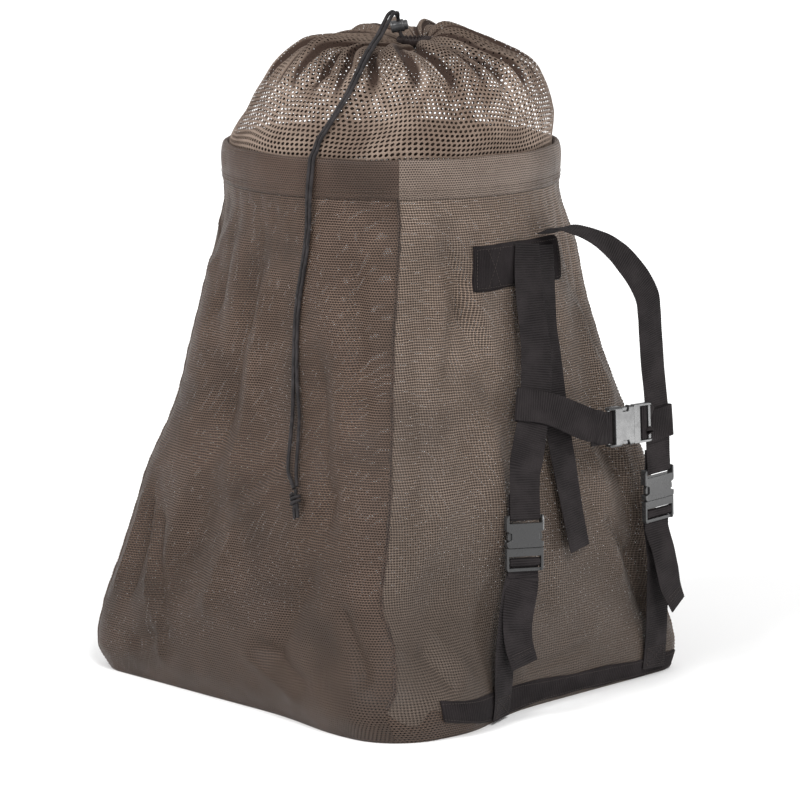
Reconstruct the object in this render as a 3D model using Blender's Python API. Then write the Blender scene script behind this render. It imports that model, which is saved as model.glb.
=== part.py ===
"""Mesh carry bag: square base, hooped rim, net collar with a drawstring, and webbing shoulder straps.

Metres, +Z up. The origin is the middle of the base, on the floor. The strap panel faces -Y.
Places round the bag are given in panels: 0 is the front corner (-X -Y), 0 to 1 the strap panel,
1 to 2 the right panel (+X), 2 to 3 the back panel (+Y) and 3 to 4 the left panel (-X).
"""
import math

import bmesh
import bpy
import numpy as np
from mathutils import Matrix, Vector

# Fabric and the gap between sewn pieces
CLOTH = 0.0015
GAP = 0.0003

# Rim: hoop, hem and the shell inside it
RIM_HEIGHT = 0.6365
HEM_FOOT = 0.5915
HEM_BULGE = 0.0018
SHELL_TOP = 0.6342
SHELL_RIM_RADIUS = 0.1965
HOOP_WALL = 0.0024
HOOP_WIDTH = 0.027
STATIONS = 12
HEM_TURN = 0.03

# Webbing, buckles and cord
WEB_WIDTH = 0.038
WEB_WALL = 0.0015
CORD_DIAMETER = 0.004

# Shell sections: height, reach of the corners from the axis, rounding of the corners,
# lean towards the +X -Y corner, and sway of the front corner seam the same way
SECTIONS = (
    (0.000, 0.3350, 0.0450, -0.002, 0.008),
    (0.030, 0.3450, 0.0480, -0.006, 0.006),
    (0.083, 0.3330, 0.0550, -0.008, 0.008),
    (0.142, 0.3170, 0.0620, -0.002, -0.010),
    (0.191, 0.3060, 0.0700, 0.003, -0.010),
    (0.245, 0.2930, 0.0850, 0.006, -0.006),
    (0.324, 0.2620, 0.1000, 0.007, -0.003),
    (0.391, 0.2430, 0.1200, 0.004, 0.001),
    (0.457, 0.2260, 0.1400, 0.003, 0.003),
    (0.517, 0.2130, 0.1650, 0.004, 0.003),
    (0.565, 0.1985, 0.1900, 0.002, 0.003),
    (0.5905, 0.1965, 0.1965, 0.000, 0.000),
    (0.640, 0.1965, 0.1965, 0.000, 0.000),
)
SWAY_REACH = 0.16

# Rows of the shell's mesh, from the floor to the rim
SHELL_ROWS = (0.0, 0.010, 0.036, 0.065, 0.100, 0.140, 0.180, 0.220, 0.260, 0.310, 0.370,
              0.435, 0.500, 0.552, 0.5905, SHELL_TOP)

# Folds and bulges of the shell: place in panels, height, half width, half length,
# rise outwards, and sideways run for each metre up
FOLDS = (
    # the strap panel, pulled down and out by what the bag holds
    (0.50, 0.160, 0.180, 0.130, 0.014, 0.0),
    (0.17, 0.020, 0.075, 0.060, 0.030, 0.0),
    (0.10, 0.130, 0.040, 0.060, -0.010, 0.4),
    (0.18, 0.400, 0.028, 0.130, -0.009, -0.25),
    (0.30, 0.330, 0.036, 0.120, 0.008, -0.20),
    (0.80, 0.330, 0.030, 0.140, -0.009, 0.10),
    (0.92, 0.250, 0.030, 0.120, 0.007, 0.10),
    (0.86, 0.120, 0.032, 0.070, -0.010, -0.30),
    # the right panel and the back panel
    (1.50, 0.170, 0.170, 0.130, 0.014, 0.0),
    (1.25, 0.300, 0.034, 0.150, -0.009, 0.15),
    (1.72, 0.360, 0.036, 0.140, -0.009, -0.15),
    (2.50, 0.160, 0.180, 0.130, 0.016, 0.0),
    (2.30, 0.330, 0.036, 0.140, -0.009, 0.20),
    (2.68, 0.380, 0.034, 0.120, -0.008, -0.15),
    # the left panel, with upright pinches beside its far corner
    (3.55, 0.140, 0.140, 0.110, 0.016, 0.0),
    (3.40, 0.262, 0.110, 0.026, 0.008, 0.0),
    (3.10, 0.185, 0.022, 0.075, -0.010, 0.10),
    (3.22, 0.160, 0.022, 0.085, 0.008, 0.15),
    (3.32, 0.190, 0.024, 0.080, -0.009, 0.20),
    (3.20, 0.440, 0.030, 0.120, -0.009, -0.30),
    (3.52, 0.430, 0.036, 0.120, -0.008, 0.25),
    (3.78, 0.320, 0.034, 0.130, 0.007, 0.15),
    (3.88, 0.010, 0.080, 0.060, 0.022, 0.0),
)
FOLD_TOP = 0.575
FOLD_FADE = 0.070

# Collar sections: way from the rim (0) to the mouth (1), height, radius,
# lean towards the +X -Y corner, and depth of the pleats
COLLAR = (
    (0.00, 0.6200, 0.1895, 0.000, 0.0000),
    (0.10, 0.6400, 0.1890, 0.000, 0.0000),
    (0.25, 0.6710, 0.1810, 0.010, 0.0008),
    (0.40, 0.7040, 0.1660, 0.014, 0.0018),
    (0.52, 0.7270, 0.1500, 0.014, 0.0028),
    (0.62, 0.7420, 0.1260, 0.010, 0.0042),
    (0.71, 0.7520, 0.0980, 0.003, 0.0054),
    (0.79, 0.7560, 0.0700, 0.004, 0.0056),
    (0.87, 0.7570, 0.0460, 0.011, 0.0050),
    (0.94, 0.7560, 0.0280, 0.021, 0.0036),
    (1.00, 0.7500, 0.0172, 0.027, 0.0022),
)
COLLAR_ROWS = tuple(row[0] for row in COLLAR)
PLEATS = 12
PLEAT_TURN = 0.35

# Broad lumps of the collar: place in panels, way up, half width in panels, half length, rise
COLLAR_LUMPS = (
    (3.25, 0.68, 0.20, 0.10, 0.006),
    (3.72, 0.62, 0.20, 0.12, -0.009),
    (0.75, 0.52, 0.26, 0.14, 0.006),
    (1.10, 0.80, 0.60, 0.11, 0.013),
    (2.00, 0.76, 0.50, 0.10, 0.006),
    (2.60, 0.50, 0.30, 0.20, -0.006),
)

RIGHTWARDS = Vector((1.0, -1.0, 0.0)).normalized()

# Felled seams
SEAM_HALF_WIDTH = 0.0045
SEAM_WALL = 0.0012
SEAM_LIFT = 0.0008

# Patch that carries the shoulder straps, and the strip along the strap panel's foot
PATCH_PLACES = (0.285, 0.715)
PATCH_HEIGHTS = (0.484, 0.500, 0.536)
PATCH_LIFT = 0.0012
STRIP_LIFT = 0.0012
STRIP_PLACES = (0.10, 0.985)
STRIP_HEIGHTS = (0.003, 0.020, 0.037)

# Side-release buckle in its own frame: half sizes across, limits along, half walls out of its face
SOCKET_HALF = 0.0235
CAVITY_HALF = 0.0204
SOCKET_LIMITS = (-0.0040, 0.0035, 0.0140, 0.0200, 0.0240, 0.0295, 0.0335)
SOCKET_WALLS = (0.0045, 0.0027, 0.0011)
PLUG_HALF = 0.0230
PLUG_INNER = 0.0200
PRONG_INNER = 0.0145
TONGUE_HALF = 0.0040
PLUG_LIMITS = (-0.0315, -0.0275, -0.0225, -0.0190, -0.0140, -0.0044, -0.0020, 0.0050, 0.0140, 0.0170)
PLUG_WALLS = (0.0033, 0.0023, 0.0011)

# How webbing goes round a socket's bar and through a plug's ladder: along and out of the face
SOCKET_WRAP = (
    (0.0620, 0.0014), (0.0480, 0.0018), (0.0400, 0.0023), (0.0335, 0.0024), (0.0302, 0.0024),
    (0.0282, 0.0017), (0.0275, 0.0), (0.0282, -0.0017), (0.0302, -0.0024), (0.0345, -0.0023),
    (0.0450, -0.0016), (0.0570, -0.0012),
)
LADDER_WRAP = (
    (-0.0335, -0.0054), (-0.0230, -0.0050), (-0.0190, -0.0040),
    (-0.0168, -0.0016), (-0.0167, 0.0008), (-0.0184, 0.0025), (-0.0212, 0.0027),
    (-0.0238, 0.0018), (-0.0250, -0.0006), (-0.0262, -0.0022), (-0.0290, -0.0028),
    (-0.0340, -0.0028), (-0.0420, -0.0024),
)

# Where the buckles lie: middle, yaw of the width, way towards the socket, and the width if not level
BUCKLES = {
    "left": ((-0.057, -0.272, 0.201), -22.0, (0.06, 0.06, 0.99)),
    "right": ((0.170, -0.2735, 0.225), -4.0, (-0.06, -0.02, 0.99)),
    "sternum": ((0.110, -0.2815, 0.318), 0.0, (-0.975, 0.150, 0.100), (0.0, 0.05, 1.0)),
}

# Heights where the sternum strap goes round the shoulder straps
LEFT_CROSSING = 0.350
RIGHT_CROSSING = 0.312

# Strap routes: x, y, height and yaw of the strap's middle
STRAP_SPACING = 0.024
LEFT_STRAP = (
    (0.020, -0.2092, 0.533, -3.0),
    (0.017, -0.2125, 0.508, -6.0),
    (0.012, -0.2200, 0.469, -13.0),
    (0.006, -0.2320, 0.412, -19.0),
    (-0.010, -0.2440, 0.358, -22.0),
    (-0.026, -0.2520, 0.320, -22.0),
)
LEFT_LAYER = (
    (0.040, -0.2072, 0.528, 3.0),
    (0.039, -0.2090, 0.502, 2.0),
    (0.037, -0.2125, 0.470, 0.0),
    (0.034, -0.2180, 0.435, -3.0),
    (0.032, -0.2290, 0.380, -5.0),
    (0.032, -0.2390, 0.325, -5.0),
    (0.036, -0.2490, 0.270, 0.0),
    (0.040, -0.2570, 0.224, 4.0),
    (0.046, -0.2640, 0.178, 8.0),
)
LEFT_ANCHOR = (
    (-0.098, -0.2752, 0.004, 16.0),
    (-0.098, -0.2782, 0.021, 16.0),
    (-0.096, -0.2778, 0.045, 12.0),
    (-0.091, -0.2765, 0.085, 6.0),
    (-0.081, -0.2750, 0.118, -4.0),
    (-0.066, -0.2710, 0.149, -16.0),
)
LEFT_TAIL = (
    (-0.078, -0.2830, 0.124, -21.0),
    (-0.082, -0.2870, 0.096, -16.0),
    (-0.077, -0.2930, 0.066, -8.0),
)
RIGHT_STRAP = (
    (0.050, -0.2030, 0.5405, 0.0),
    (0.0508, -0.2130, 0.5462, 0.0),
    (0.060, -0.2340, 0.5480, 0.0),
    (0.080, -0.2650, 0.534, 0.0),
    (0.104, -0.2820, 0.507, 0.0),
    (0.128, -0.2895, 0.470, 0.0),
    (0.146, -0.2800, 0.427, 0.0),
    (0.156, -0.2755, 0.382, -2.0),
    (0.162, -0.2755, 0.343, -3.0),
)
RIGHT_ANCHOR = (
    (0.184, -0.2575, 0.010, 0.0),
    (0.185, -0.2600, 0.045, 0.0),
    (0.184, -0.2625, 0.095, -1.0),
    (0.178, -0.2690, 0.145, -3.0),
)
RIGHT_TAIL = (
    (0.176, -0.2810, 0.150, -2.0),
    (0.185, -0.2810, 0.118, 4.0),
    (0.196, -0.2850, 0.090, 14.0),
)

# The sternum strap's turn round a shoulder strap: along and out, for the left one
CROSSING_TURN = (
    (0.0195, -0.0036), (0.0220, -0.0024), (0.0229, 0.0), (0.0220, 0.0024), (0.0195, 0.0036),
)
CROSSING_BACK = 0.0120
CROSSING_FRONT = 0.0170
CROSSING_OUT = 0.0040

# Cord lock: its own frame has the barrel's axis to the right and the hole's axis upwards, leaning
LOCK_MIDDLE = (0.0095, -0.0040, 0.7700)
LOCK_LEAN = 10.0
LOCK_SIDES = 12
BARREL_RADIUS = 0.0074
BORE_RADIUS = 0.0062
BARREL_ENDS = (-0.0102, 0.0056)
BARREL_FLOOR = 0.0018
BUTTON_RADIUS = 0.0058
BUTTON_ENDS = (-0.0051, 0.0104)
HOLE_HALF_WIDTH = 0.0047
BARREL_HOLE = (-0.0032, 0.0025)
BUTTON_HOLE = (-0.0025, 0.0055)

# Drawstring: a loop inside the mouth, then two strands through the lock and down to the knot
MOUTH_MIDDLE = (0.0270, 0.0, 0.7465)
LOOP_RADIUS = 0.0102
LOOP_TURN = 112.0
CORD_SPACING = 0.012
CORD_SIDES = 8

# The strands' shared way up: right, depth, height and half the distance between their middles
CORD_START = (
    (0.0204, -0.0003, 0.7472, 0.0086),
    (0.0172, -0.0010, 0.7500, 0.0058),
    (0.0136, -0.0030, 0.7560, 0.0030),
    (0.0110, -0.0040, 0.7614, 0.00215),
)

# The way down: x, y, height, half the distance between the strands, and yaw of that distance
CORD_ROUTE = (
    (0.0028, -0.0084, 0.7791, 0.0022, 45.0),
    (-0.0040, -0.0120, 0.7860, 0.0030, 70.0),
    (-0.0160, -0.0160, 0.7855, 0.0030, 100.0),
    (-0.0290, -0.0195, 0.7745, 0.0026, 115.0),
    (-0.0425, -0.0236, 0.7628, 0.0024, 120.0),
    (-0.0705, -0.0396, 0.7529, 0.0023, 120.0),
    (-0.0975, -0.0557, 0.7420, 0.0023, 115.0),
    (-0.1284, -0.0738, 0.7258, 0.0023, 105.0),
    (-0.1464, -0.0775, 0.7070, 0.0022, 90.0),
    (-0.1549, -0.0744, 0.6935, 0.0022, 80.0),
    (-0.1622, -0.0704, 0.6811, 0.0022, 80.0),
    (-0.1701, -0.0656, 0.6675, 0.0022, 85.0),
    (-0.1768, -0.0613, 0.6550, 0.0022, 95.0),
    (-0.1812, -0.0605, 0.6445, 0.0022, 105.0),
    (-0.1882, -0.0628, 0.6380, 0.0022, 108.0),
    (-0.1920, -0.0640, 0.6240, 0.0022, 108.0),
    (-0.1930, -0.0632, 0.6110, 0.0022, 105.0),
    (-0.1926, -0.0605, 0.5900, 0.0022, 95.0),
    (-0.1910, -0.0580, 0.5600, 0.0022, 90.0),
    (-0.1929, -0.0558, 0.5300, 0.0022, 90.0),
    (-0.1944, -0.0508, 0.5000, 0.0022, 90.0),
    (-0.1959, -0.0462, 0.4720, 0.0022, 90.0),
    (-0.1989, -0.0455, 0.4380, 0.0022, 90.0),
    (-0.2047, -0.0500, 0.4005, 0.0024, 90.0),
    (-0.2089, -0.0545, 0.3700, 0.0036, 90.0),
    (-0.2141, -0.0605, 0.3410, 0.0055, 90.0),
    (-0.2208, -0.0640, 0.3085, 0.0064, 90.0),
    (-0.2304, -0.0715, 0.2855, 0.0062, 90.0),
    (-0.2362, -0.0800, 0.2742, 0.0038, 90.0),
    (-0.2415, -0.0880, 0.2668, 0.0022, 90.0),
)

# Knot of the two strands: its top and its foot, then sections: way down, half width, half depth
KNOT_TOP = (-0.2432, -0.0890, 0.2646)
KNOT_FOOT = (-0.2512, -0.0998, 0.2320)
KNOT_OUTWARDS = (-0.98, 0.07, 0.21)
KNOT = (
    (0.00, 0.0042, 0.0024),
    (0.12, 0.0072, 0.0046),
    (0.32, 0.0086, 0.0060),
    (0.52, 0.0080, 0.0058),
    (0.66, 0.0060, 0.0042),
    (0.76, 0.0046, 0.0026),
    (1.00, 0.0044, 0.0021),
)
KNOT_SIDES = 10

# Colours, roughness and metallic value of each material
FINISHES = {
    "mesh_taupe": ((0.23, 0.17, 0.13), 0.80, 0.0),
    "mesh_brown": ((0.10, 0.065, 0.05), 0.80, 0.0),
    "net_brown": ((0.16, 0.10, 0.075), 0.75, 0.0),
    "webbing": ((0.022, 0.020, 0.021), 0.70, 0.0),
    "cord": ((0.03, 0.028, 0.028), 0.65, 0.0),
    "buckle_plastic": ((0.05, 0.05, 0.052), 0.32, 0.0),
    "lock_plastic": ((0.10, 0.10, 0.105), 0.30, 0.0),
    "hoop_plastic": ((0.62, 0.60, 0.58), 0.25, 0.0),
}


def clear_scene():
    for item in list(bpy.data.objects):
        bpy.data.objects.remove(item, do_unlink=True)


def material(name):
    """The material of that name, made once for each sub-part that asks for it."""
    colour, roughness, metallic = FINISHES[name]
    surface = bpy.data.materials.new(name)
    surface.use_nodes = True
    shader = surface.node_tree.nodes["Principled BSDF"]
    shader.inputs["Base Color"].default_value = (*colour, 1.0)
    shader.inputs["Roughness"].default_value = roughness
    shader.inputs["Metallic"].default_value = metallic
    surface.diffuse_color = (*colour, 1.0)
    return surface


def smooth_row(rows, place):
    """Values of a table at a place in its first column, read on a smooth curve through its rows."""
    table = np.array(rows, dtype=float)
    knots = table[:, 0]
    place = min(max(place, knots[0]), knots[-1])
    index = int(min(max(np.searchsorted(knots, place) - 1, 0), len(knots) - 2))
    before = table[max(index - 1, 0)]
    start, end = table[index], table[index + 1]
    after = table[min(index + 2, len(knots) - 1)]
    width = end[0] - start[0]
    share = (place - start[0]) / width
    slope_start = (end - before)[1:] / (end[0] - before[0]) * width
    slope_end = (after - start)[1:] / (after[0] - start[0]) * width
    square, cube = share * share, share * share * share
    return ((2 * cube - 3 * square + 1) * start[1:] + (cube - 2 * square + share) * slope_start
            + (3 * square - 2 * cube) * end[1:] + (cube - square) * slope_end)


def round_distance(place, other):
    """Distance in panels from one place to another, the short way round."""
    return (place - other + 2.0) % 4.0 - 2.0


def add_solid(name, points, faces, finish, smooth_angle=40.0):
    """One closed mesh object, its faces turned outwards."""
    mesh = bpy.data.meshes.new(name)
    builder = bmesh.new()
    corners = [builder.verts.new(point) for point in points]
    for face in faces:
        builder.faces.new([corners[index] for index in face])
    bmesh.ops.recalc_face_normals(builder, faces=builder.faces)
    bmesh.ops.triangulate(builder, faces=[face for face in builder.faces if len(face.verts) > 3])
    builder.to_mesh(mesh)
    builder.free()
    mesh.shade_smooth()
    mesh.set_sharp_from_angle(angle=math.radians(smooth_angle))
    item = bpy.data.objects.new(name, mesh)
    bpy.context.scene.collection.objects.link(item)
    mesh.materials.append(material(finish))
    return item


def add_sheet(name, front, back, finish):
    """A thin solid between two grids of points."""
    rows, columns = len(front), len(front[0])
    points = [point for grid in (front, back) for line in grid for point in line]
    second = rows * columns

    def at(row, column, side):
        return side * second + row * columns + column

    faces = []
    for row in range(rows - 1):
        for column in range(columns - 1):
            for side in (0, 1):
                a = at(row, column, side)
                b = at(row, column + 1, side)
                c = at(row + 1, column + 1, side)
                d = at(row + 1, column, side)
                faces += [(a, b, c), (a, c, d)] if side == 0 else [(c, b, a), (d, c, a)]
    for row in (0, rows - 1):
        for column in range(columns - 1):
            faces.append((at(row, column, 0), at(row, column, 1),
                          at(row, column + 1, 1), at(row, column + 1, 0)))
    for column in (0, columns - 1):
        for row in range(rows - 1):
            faces.append((at(row, column, 0), at(row + 1, column, 0),
                          at(row + 1, column, 1), at(row, column, 1)))
    return add_solid(name, points, faces, finish)


def section(height):
    """Half side, corner rounding, lean and corner sway of the shell at a height."""
    reach, rounding, lean, sway = smooth_row(SECTIONS, height)
    half = (reach + (math.sqrt(2.0) - 1.0) * rounding) / math.sqrt(2.0)
    return half, min(rounding, half), lean, sway


def panel_length(half, rounding):
    """Length of the outline from one corner to the next."""
    return 2.0 * (half - rounding) + rounding * math.pi / 2.0


def fold_offset(place, height, length):
    """How far the folds and bulges push the shell outwards."""
    total = 0.0
    for centre, level, half_width, half_length, rise, slant in FOLDS:
        across = round_distance(place, centre) * length - slant * (height - level)
        along = (height - level) / half_length
        total += rise * math.exp(-(across / half_width) ** 2 - along ** 2)
    fade = min(max((FOLD_TOP - height) / FOLD_FADE, 0.0), 1.0)
    return total * fade * fade * (3.0 - 2.0 * fade)


def shell_frame(place, height):
    """A point of the shell's outer face and the outline's outward normal there."""
    half, rounding, lean, sway = section(height)
    length = panel_length(half, rounding)
    panel = math.floor(place)
    along = (place - panel) * length - length / 2.0
    straight = half - rounding
    turn = max(abs(along) - straight, 0.0) / rounding
    side = math.copysign(1.0, along)
    x = side * (min(abs(along), straight) + rounding * math.sin(turn))
    y = -(straight + rounding * math.cos(turn))
    normal = Vector((side * math.sin(turn), -math.cos(turn), 0.0))
    point = Vector((x, y, height)) + normal * fold_offset(place, height, length)
    quarter = math.radians(90.0 * panel)
    cosine, sine = math.cos(quarter), math.sin(quarter)
    point = Vector((point.x * cosine - point.y * sine, point.x * sine + point.y * cosine, height))
    normal = Vector((normal.x * cosine - normal.y * sine, normal.x * sine + normal.y * cosine, 0.0))
    drift = sway * math.exp(-(round_distance(place, 0.0) * length / SWAY_REACH) ** 2)
    return point + RIGHTWARDS * (lean + drift), normal


def shell_point(place, height, inset=0.0):
    point, normal = shell_frame(place, height)
    return point - normal * inset


def panel_places(panel, height):
    """Places of a panel's columns, its two ends half a gap short of the corners."""
    half, rounding, _, _ = section(height)
    end = GAP / 2.0 / panel_length(half, rounding)
    places = [panel + column / STATIONS for column in range(STATIONS + 1)]
    places[0] += end
    places[-1] -= end
    return places


def add_panel(name, panel, finish):
    front = [[shell_point(place, height) for place in panel_places(panel, height)]
             for height in SHELL_ROWS]
    back = [[shell_point(place, height, CLOTH) for place in panel_places(panel, height)]
            for height in SHELL_ROWS]
    return add_sheet(name, front, back, finish)


def add_base():
    """The flat bottom, inside the foot of the four panels."""
    count = 4 * STATIONS
    outline = [shell_point(4.0 * index / count, 0.0, CLOTH + GAP) for index in range(count)]
    points = outline + [point + Vector((0.0, 0.0, CLOTH)) for point in outline]
    faces = [tuple(range(count)), tuple(range(count, 2 * count))]
    for index in range(count):
        after = (index + 1) % count
        faces.append((index, after, count + after, count + index))
    return add_solid("base_panel", points, faces, "mesh_brown")


def add_seam(name, corner, finish):
    """A felled seam: a narrow strip over the joint of two panels, on their flat mesh faces."""
    front, back = [], []
    for height in SHELL_ROWS[:-1]:
        middle, normal = shell_frame(corner, height)
        lines = []
        for step in (-1, 1):
            neighbour = shell_point(corner + step / STATIONS, height)
            lines.append((neighbour - middle).normalized() * SEAM_HALF_WIDTH)
        foot = [middle + lines[0], middle, middle + lines[1]]
        back.append([point + normal * SEAM_LIFT for point in foot])
        front.append([point + normal * (SEAM_LIFT + SEAM_WALL) for point in foot])
    return add_sheet(name, front, back, finish)


def ring_angle(place):
    return math.radians(-135.0 + 90.0 * place)


def ring_point(place, radius, height):
    """A point of the rim's outline, whose facets turn at the same places in each ring."""
    station = math.floor(place * STATIONS + 1e-6)
    ends = []
    for step in (0, 1):
        angle = ring_angle((station + step) / STATIONS)
        ends.append(Vector((radius * math.cos(angle), radius * math.sin(angle), height)))
    return ends[0].lerp(ends[1], max(place * STATIONS - station, 0.0))


def add_ring(name, profile, first, last, finish):
    """A solid swept round the axis from one place to another; profile is (radius, height) pairs."""
    whole = last - first >= 4.0
    first_station = math.floor(first * STATIONS) + 1
    last_station = math.ceil(last * STATIONS)
    places = [first] + [station / STATIONS for station in range(first_station, last_station)]
    count = len(places)
    if not whole:
        end = GAP / 2.0 / (SHELL_RIM_RADIUS * math.pi / 2.0)
        places[0] += end
        places.append(last - end)
    size = len(profile)
    points = [ring_point(place, radius, height) for place in places for radius, height in profile]
    faces = []
    for index in range(count):
        here = index * size
        there = (index + 1) % len(places) * size
        for corner in range(size):
            after = (corner + 1) % size
            faces.append((here + corner, here + after, there + after, there + corner))
    if not whole:
        faces.append(tuple(range(size)))
        faces.append(tuple(range(count * size, (count + 1) * size)))
    return add_solid(name, points, faces, finish)


def hem_profile():
    """The folded hem in section: an upside-down U over the shell's edge and the hoop."""
    outer_inside = SHELL_RIM_RADIUS + GAP
    outer_face = outer_inside + CLOTH
    inner_outside = SHELL_RIM_RADIUS - CLOTH - GAP - HOOP_WALL - GAP
    inner_face = inner_outside - CLOTH
    middle = (HEM_FOOT + RIM_HEIGHT) / 2.0
    shoulder = RIM_HEIGHT - 0.004
    return (
        (outer_face, HEM_FOOT),
        (outer_face + HEM_BULGE, middle),
        (outer_face, shoulder),
        (outer_face - 0.0025, RIM_HEIGHT),
        (inner_face + 0.0020, RIM_HEIGHT),
        (inner_face, shoulder),
        (inner_face, HEM_FOOT),
        (inner_outside, HEM_FOOT),
        (inner_outside, RIM_HEIGHT - 0.0020),
        (outer_inside, RIM_HEIGHT - 0.0020),
        (outer_inside, HEM_FOOT),
    )


def add_rim():
    profile = hem_profile()
    add_ring("rim_hem_light", profile, HEM_TURN, 1.0, "mesh_taupe")
    add_ring("rim_hem_dark", profile, 1.0, 4.0 + HEM_TURN, "mesh_brown")
    outer = SHELL_RIM_RADIUS - CLOTH - GAP
    inner = outer - HOOP_WALL
    top = SHELL_TOP
    foot = top - HOOP_WIDTH
    hoop = ((outer, foot), (outer, top), (inner, top), (inner, foot))
    add_ring("rim_hoop", hoop, 0.0, 4.0, "hoop_plastic")


def collar_lumps(place, way):
    total = 0.0
    for centre, level, half_width, half_length, rise in COLLAR_LUMPS:
        across = round_distance(place, centre) / half_width
        total += rise * math.exp(-across ** 2 - ((way - level) / half_length) ** 2)
    return total


def collar_point(place, way, raised=0.0):
    """A point of the net collar, pushed along its own normal by pleats, lumps and raised."""
    height, radius, lean, pleat = smooth_row(COLLAR, way)
    step = 0.01
    low = smooth_row(COLLAR, way - step)
    high = smooth_row(COLLAR, way + step)
    rise, run = high[0] - low[0], low[1] - high[1]
    scale = math.hypot(rise, run)
    angle = ring_angle(place)
    wave = math.cos(PLEATS * (angle + PLEAT_TURN * way))
    push = pleat * wave + collar_lumps(place, way) + raised
    radius += push * rise / scale
    height += push * run / scale
    return Vector((radius * math.cos(angle), radius * math.sin(angle), height)) + RIGHTWARDS * lean


def add_collar():
    """The net collar in four quarters, one above each panel."""
    for quarter, side in enumerate(("strap_side", "right", "back", "left")):
        front, back = [], []
        for way in COLLAR_ROWS:
            radius = smooth_row(COLLAR, way)[1]
            end = GAP / (radius * math.pi)
            places = [quarter + column / STATIONS for column in range(STATIONS + 1)]
            places[0] += end
            places[-1] -= end
            front.append([collar_point(place, way) for place in places])
            back.append([collar_point(place, way, -CLOTH) for place in places])
        add_sheet("net_collar_" + side, front, back, "net_brown")


def middle_out(points):
    """Points with the tangent at each, from its neighbours."""
    pairs = []
    for index, point in enumerate(points):
        before = points[max(index - 1, 0)]
        after = points[min(index + 1, len(points) - 1)]
        pairs.append((point, (after - before).normalized()))
    return pairs


def curve_through(rows, spacing):
    """Rows of numbers resampled at about an even spacing on a smooth curve through them."""
    table = np.array(rows, dtype=float)
    steps = np.linalg.norm(np.diff(table[:, :3], axis=0), axis=1)
    knots = np.concatenate([[0.0], np.cumsum(steps)])
    keyed = np.column_stack([knots, table])
    count = max(2, round(knots[-1] / spacing) + 1)
    return [smooth_row(keyed, place) for place in np.linspace(0.0, knots[-1], count)]


def yaw_direction(degrees):
    """Level direction of a strap's width: 0 runs along the strap panel, negative faces the left."""
    angle = math.radians(degrees)
    return Vector((math.cos(angle), math.sin(angle), 0.0))


def strap_route(rows, spacing=STRAP_SPACING):
    """Stations of a strap from rows of x, y, height and yaw: its middle and its width's direction."""
    return [(Vector(row[:3]), yaw_direction(row[3])) for row in curve_through(rows, spacing)]


def add_ribbon(name, stations, width=WEB_WIDTH, wall=WEB_WALL, finish="webbing"):
    """A flat strap along stations of middle point and width direction."""
    points = []
    for (middle, across), (_, tangent) in zip(stations, middle_out([place for place, _ in stations])):
        normal = tangent.cross(across).normalized()
        side = normal.cross(tangent).normalized() * (width / 2.0)
        lift = normal * (wall / 2.0)
        points += [middle - side - lift, middle + side - lift, middle + side + lift,
                   middle - side + lift]
    faces = [(0, 1, 2, 3), tuple(len(points) - 4 + corner for corner in range(4))]
    for start in range(0, len(points) - 4, 4):
        for corner in range(4):
            after = (corner + 1) % 4
            faces.append((start + corner, start + after, start + 4 + after, start + 4 + corner))
    return add_solid(name, points, faces, finish, smooth_angle=30.0)


class BuckleFrame:
    """Where a buckle lies: its middle, its width, its length towards the socket, and its face."""

    def __init__(self, middle, yaw, towards_socket, across=None):
        self.middle = Vector(middle)
        self.length = Vector(towards_socket).normalized()
        level = Vector(across) if across else yaw_direction(yaw)
        self.face = level.cross(self.length).normalized()
        self.width = level.normalized() if across else self.length.cross(self.face).normalized()
        self.length = self.face.cross(self.width).normalized()

    def at(self, along, out, across=0.0):
        return self.middle + self.width * across + self.length * along + self.face * out

    def stations(self, pairs):
        return [(self.at(along, out), self.width) for along, out in pairs]

    def matrix(self):
        columns = (self.width, self.length, self.face, self.middle)
        return Matrix([[column[axis] for column in columns] for axis in range(3)] + [[0.0, 0.0, 0.0, 1.0]])

    def yaw(self):
        return math.degrees(math.atan2(self.width.y, self.width.x))


def add_blocks(name, frame, planes, is_solid, shape, finish="buckle_plastic"):
    """The blocks between three sets of planes whose middles pass a test, as one solid in a frame."""
    across, along, out = planes
    sizes = [len(axis) - 1 for axis in planes]

    def filled(cell):
        if any(not 0 <= place < size for place, size in zip(cell, sizes)):
            return False
        middles = [(axis[place] + axis[place + 1]) / 2.0 for axis, place in zip(planes, cell)]
        return is_solid(*middles)

    builder = bmesh.new()
    corners = {}

    def corner(place):
        if place not in corners:
            corners[place] = builder.verts.new(shape(across[place[0]], along[place[1]], out[place[2]]))
        return corners[place]

    for cell in [(i, j, k) for i in range(sizes[0]) for j in range(sizes[1]) for k in range(sizes[2])]:
        if not filled(cell):
            continue
        for axis in range(3):
            for step in (0, 1):
                beside = list(cell)
                beside[axis] += 2 * step - 1
                if filled(tuple(beside)):
                    continue
                first, second = [other for other in range(3) if other != axis]
                ring = []
                for u, v in ((0, 0), (1, 0), (1, 1), (0, 1)):
                    place = list(cell)
                    place[axis] += step
                    place[first] += u
                    place[second] += v
                    ring.append(corner(tuple(place)))
                builder.faces.new(ring)
    bmesh.ops.recalc_face_normals(builder, faces=builder.faces)
    bmesh.ops.dissolve_limit(builder, angle_limit=math.radians(1.0), verts=builder.verts,
                             edges=builder.edges)
    bmesh.ops.triangulate(builder, faces=[face for face in builder.faces if len(face.verts) > 3])
    mesh = bpy.data.meshes.new(name)
    builder.to_mesh(mesh)
    builder.free()
    item = bpy.data.objects.new(name, mesh)
    bpy.context.scene.collection.objects.link(item)
    mesh.materials.append(material(finish))
    item.matrix_world = frame.matrix()
    return item


def both_sides(*halves):
    """Planes on both sides of the middle from their distances, the farthest first."""
    return tuple(-value for value in halves) + tuple(reversed(halves))


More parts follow.
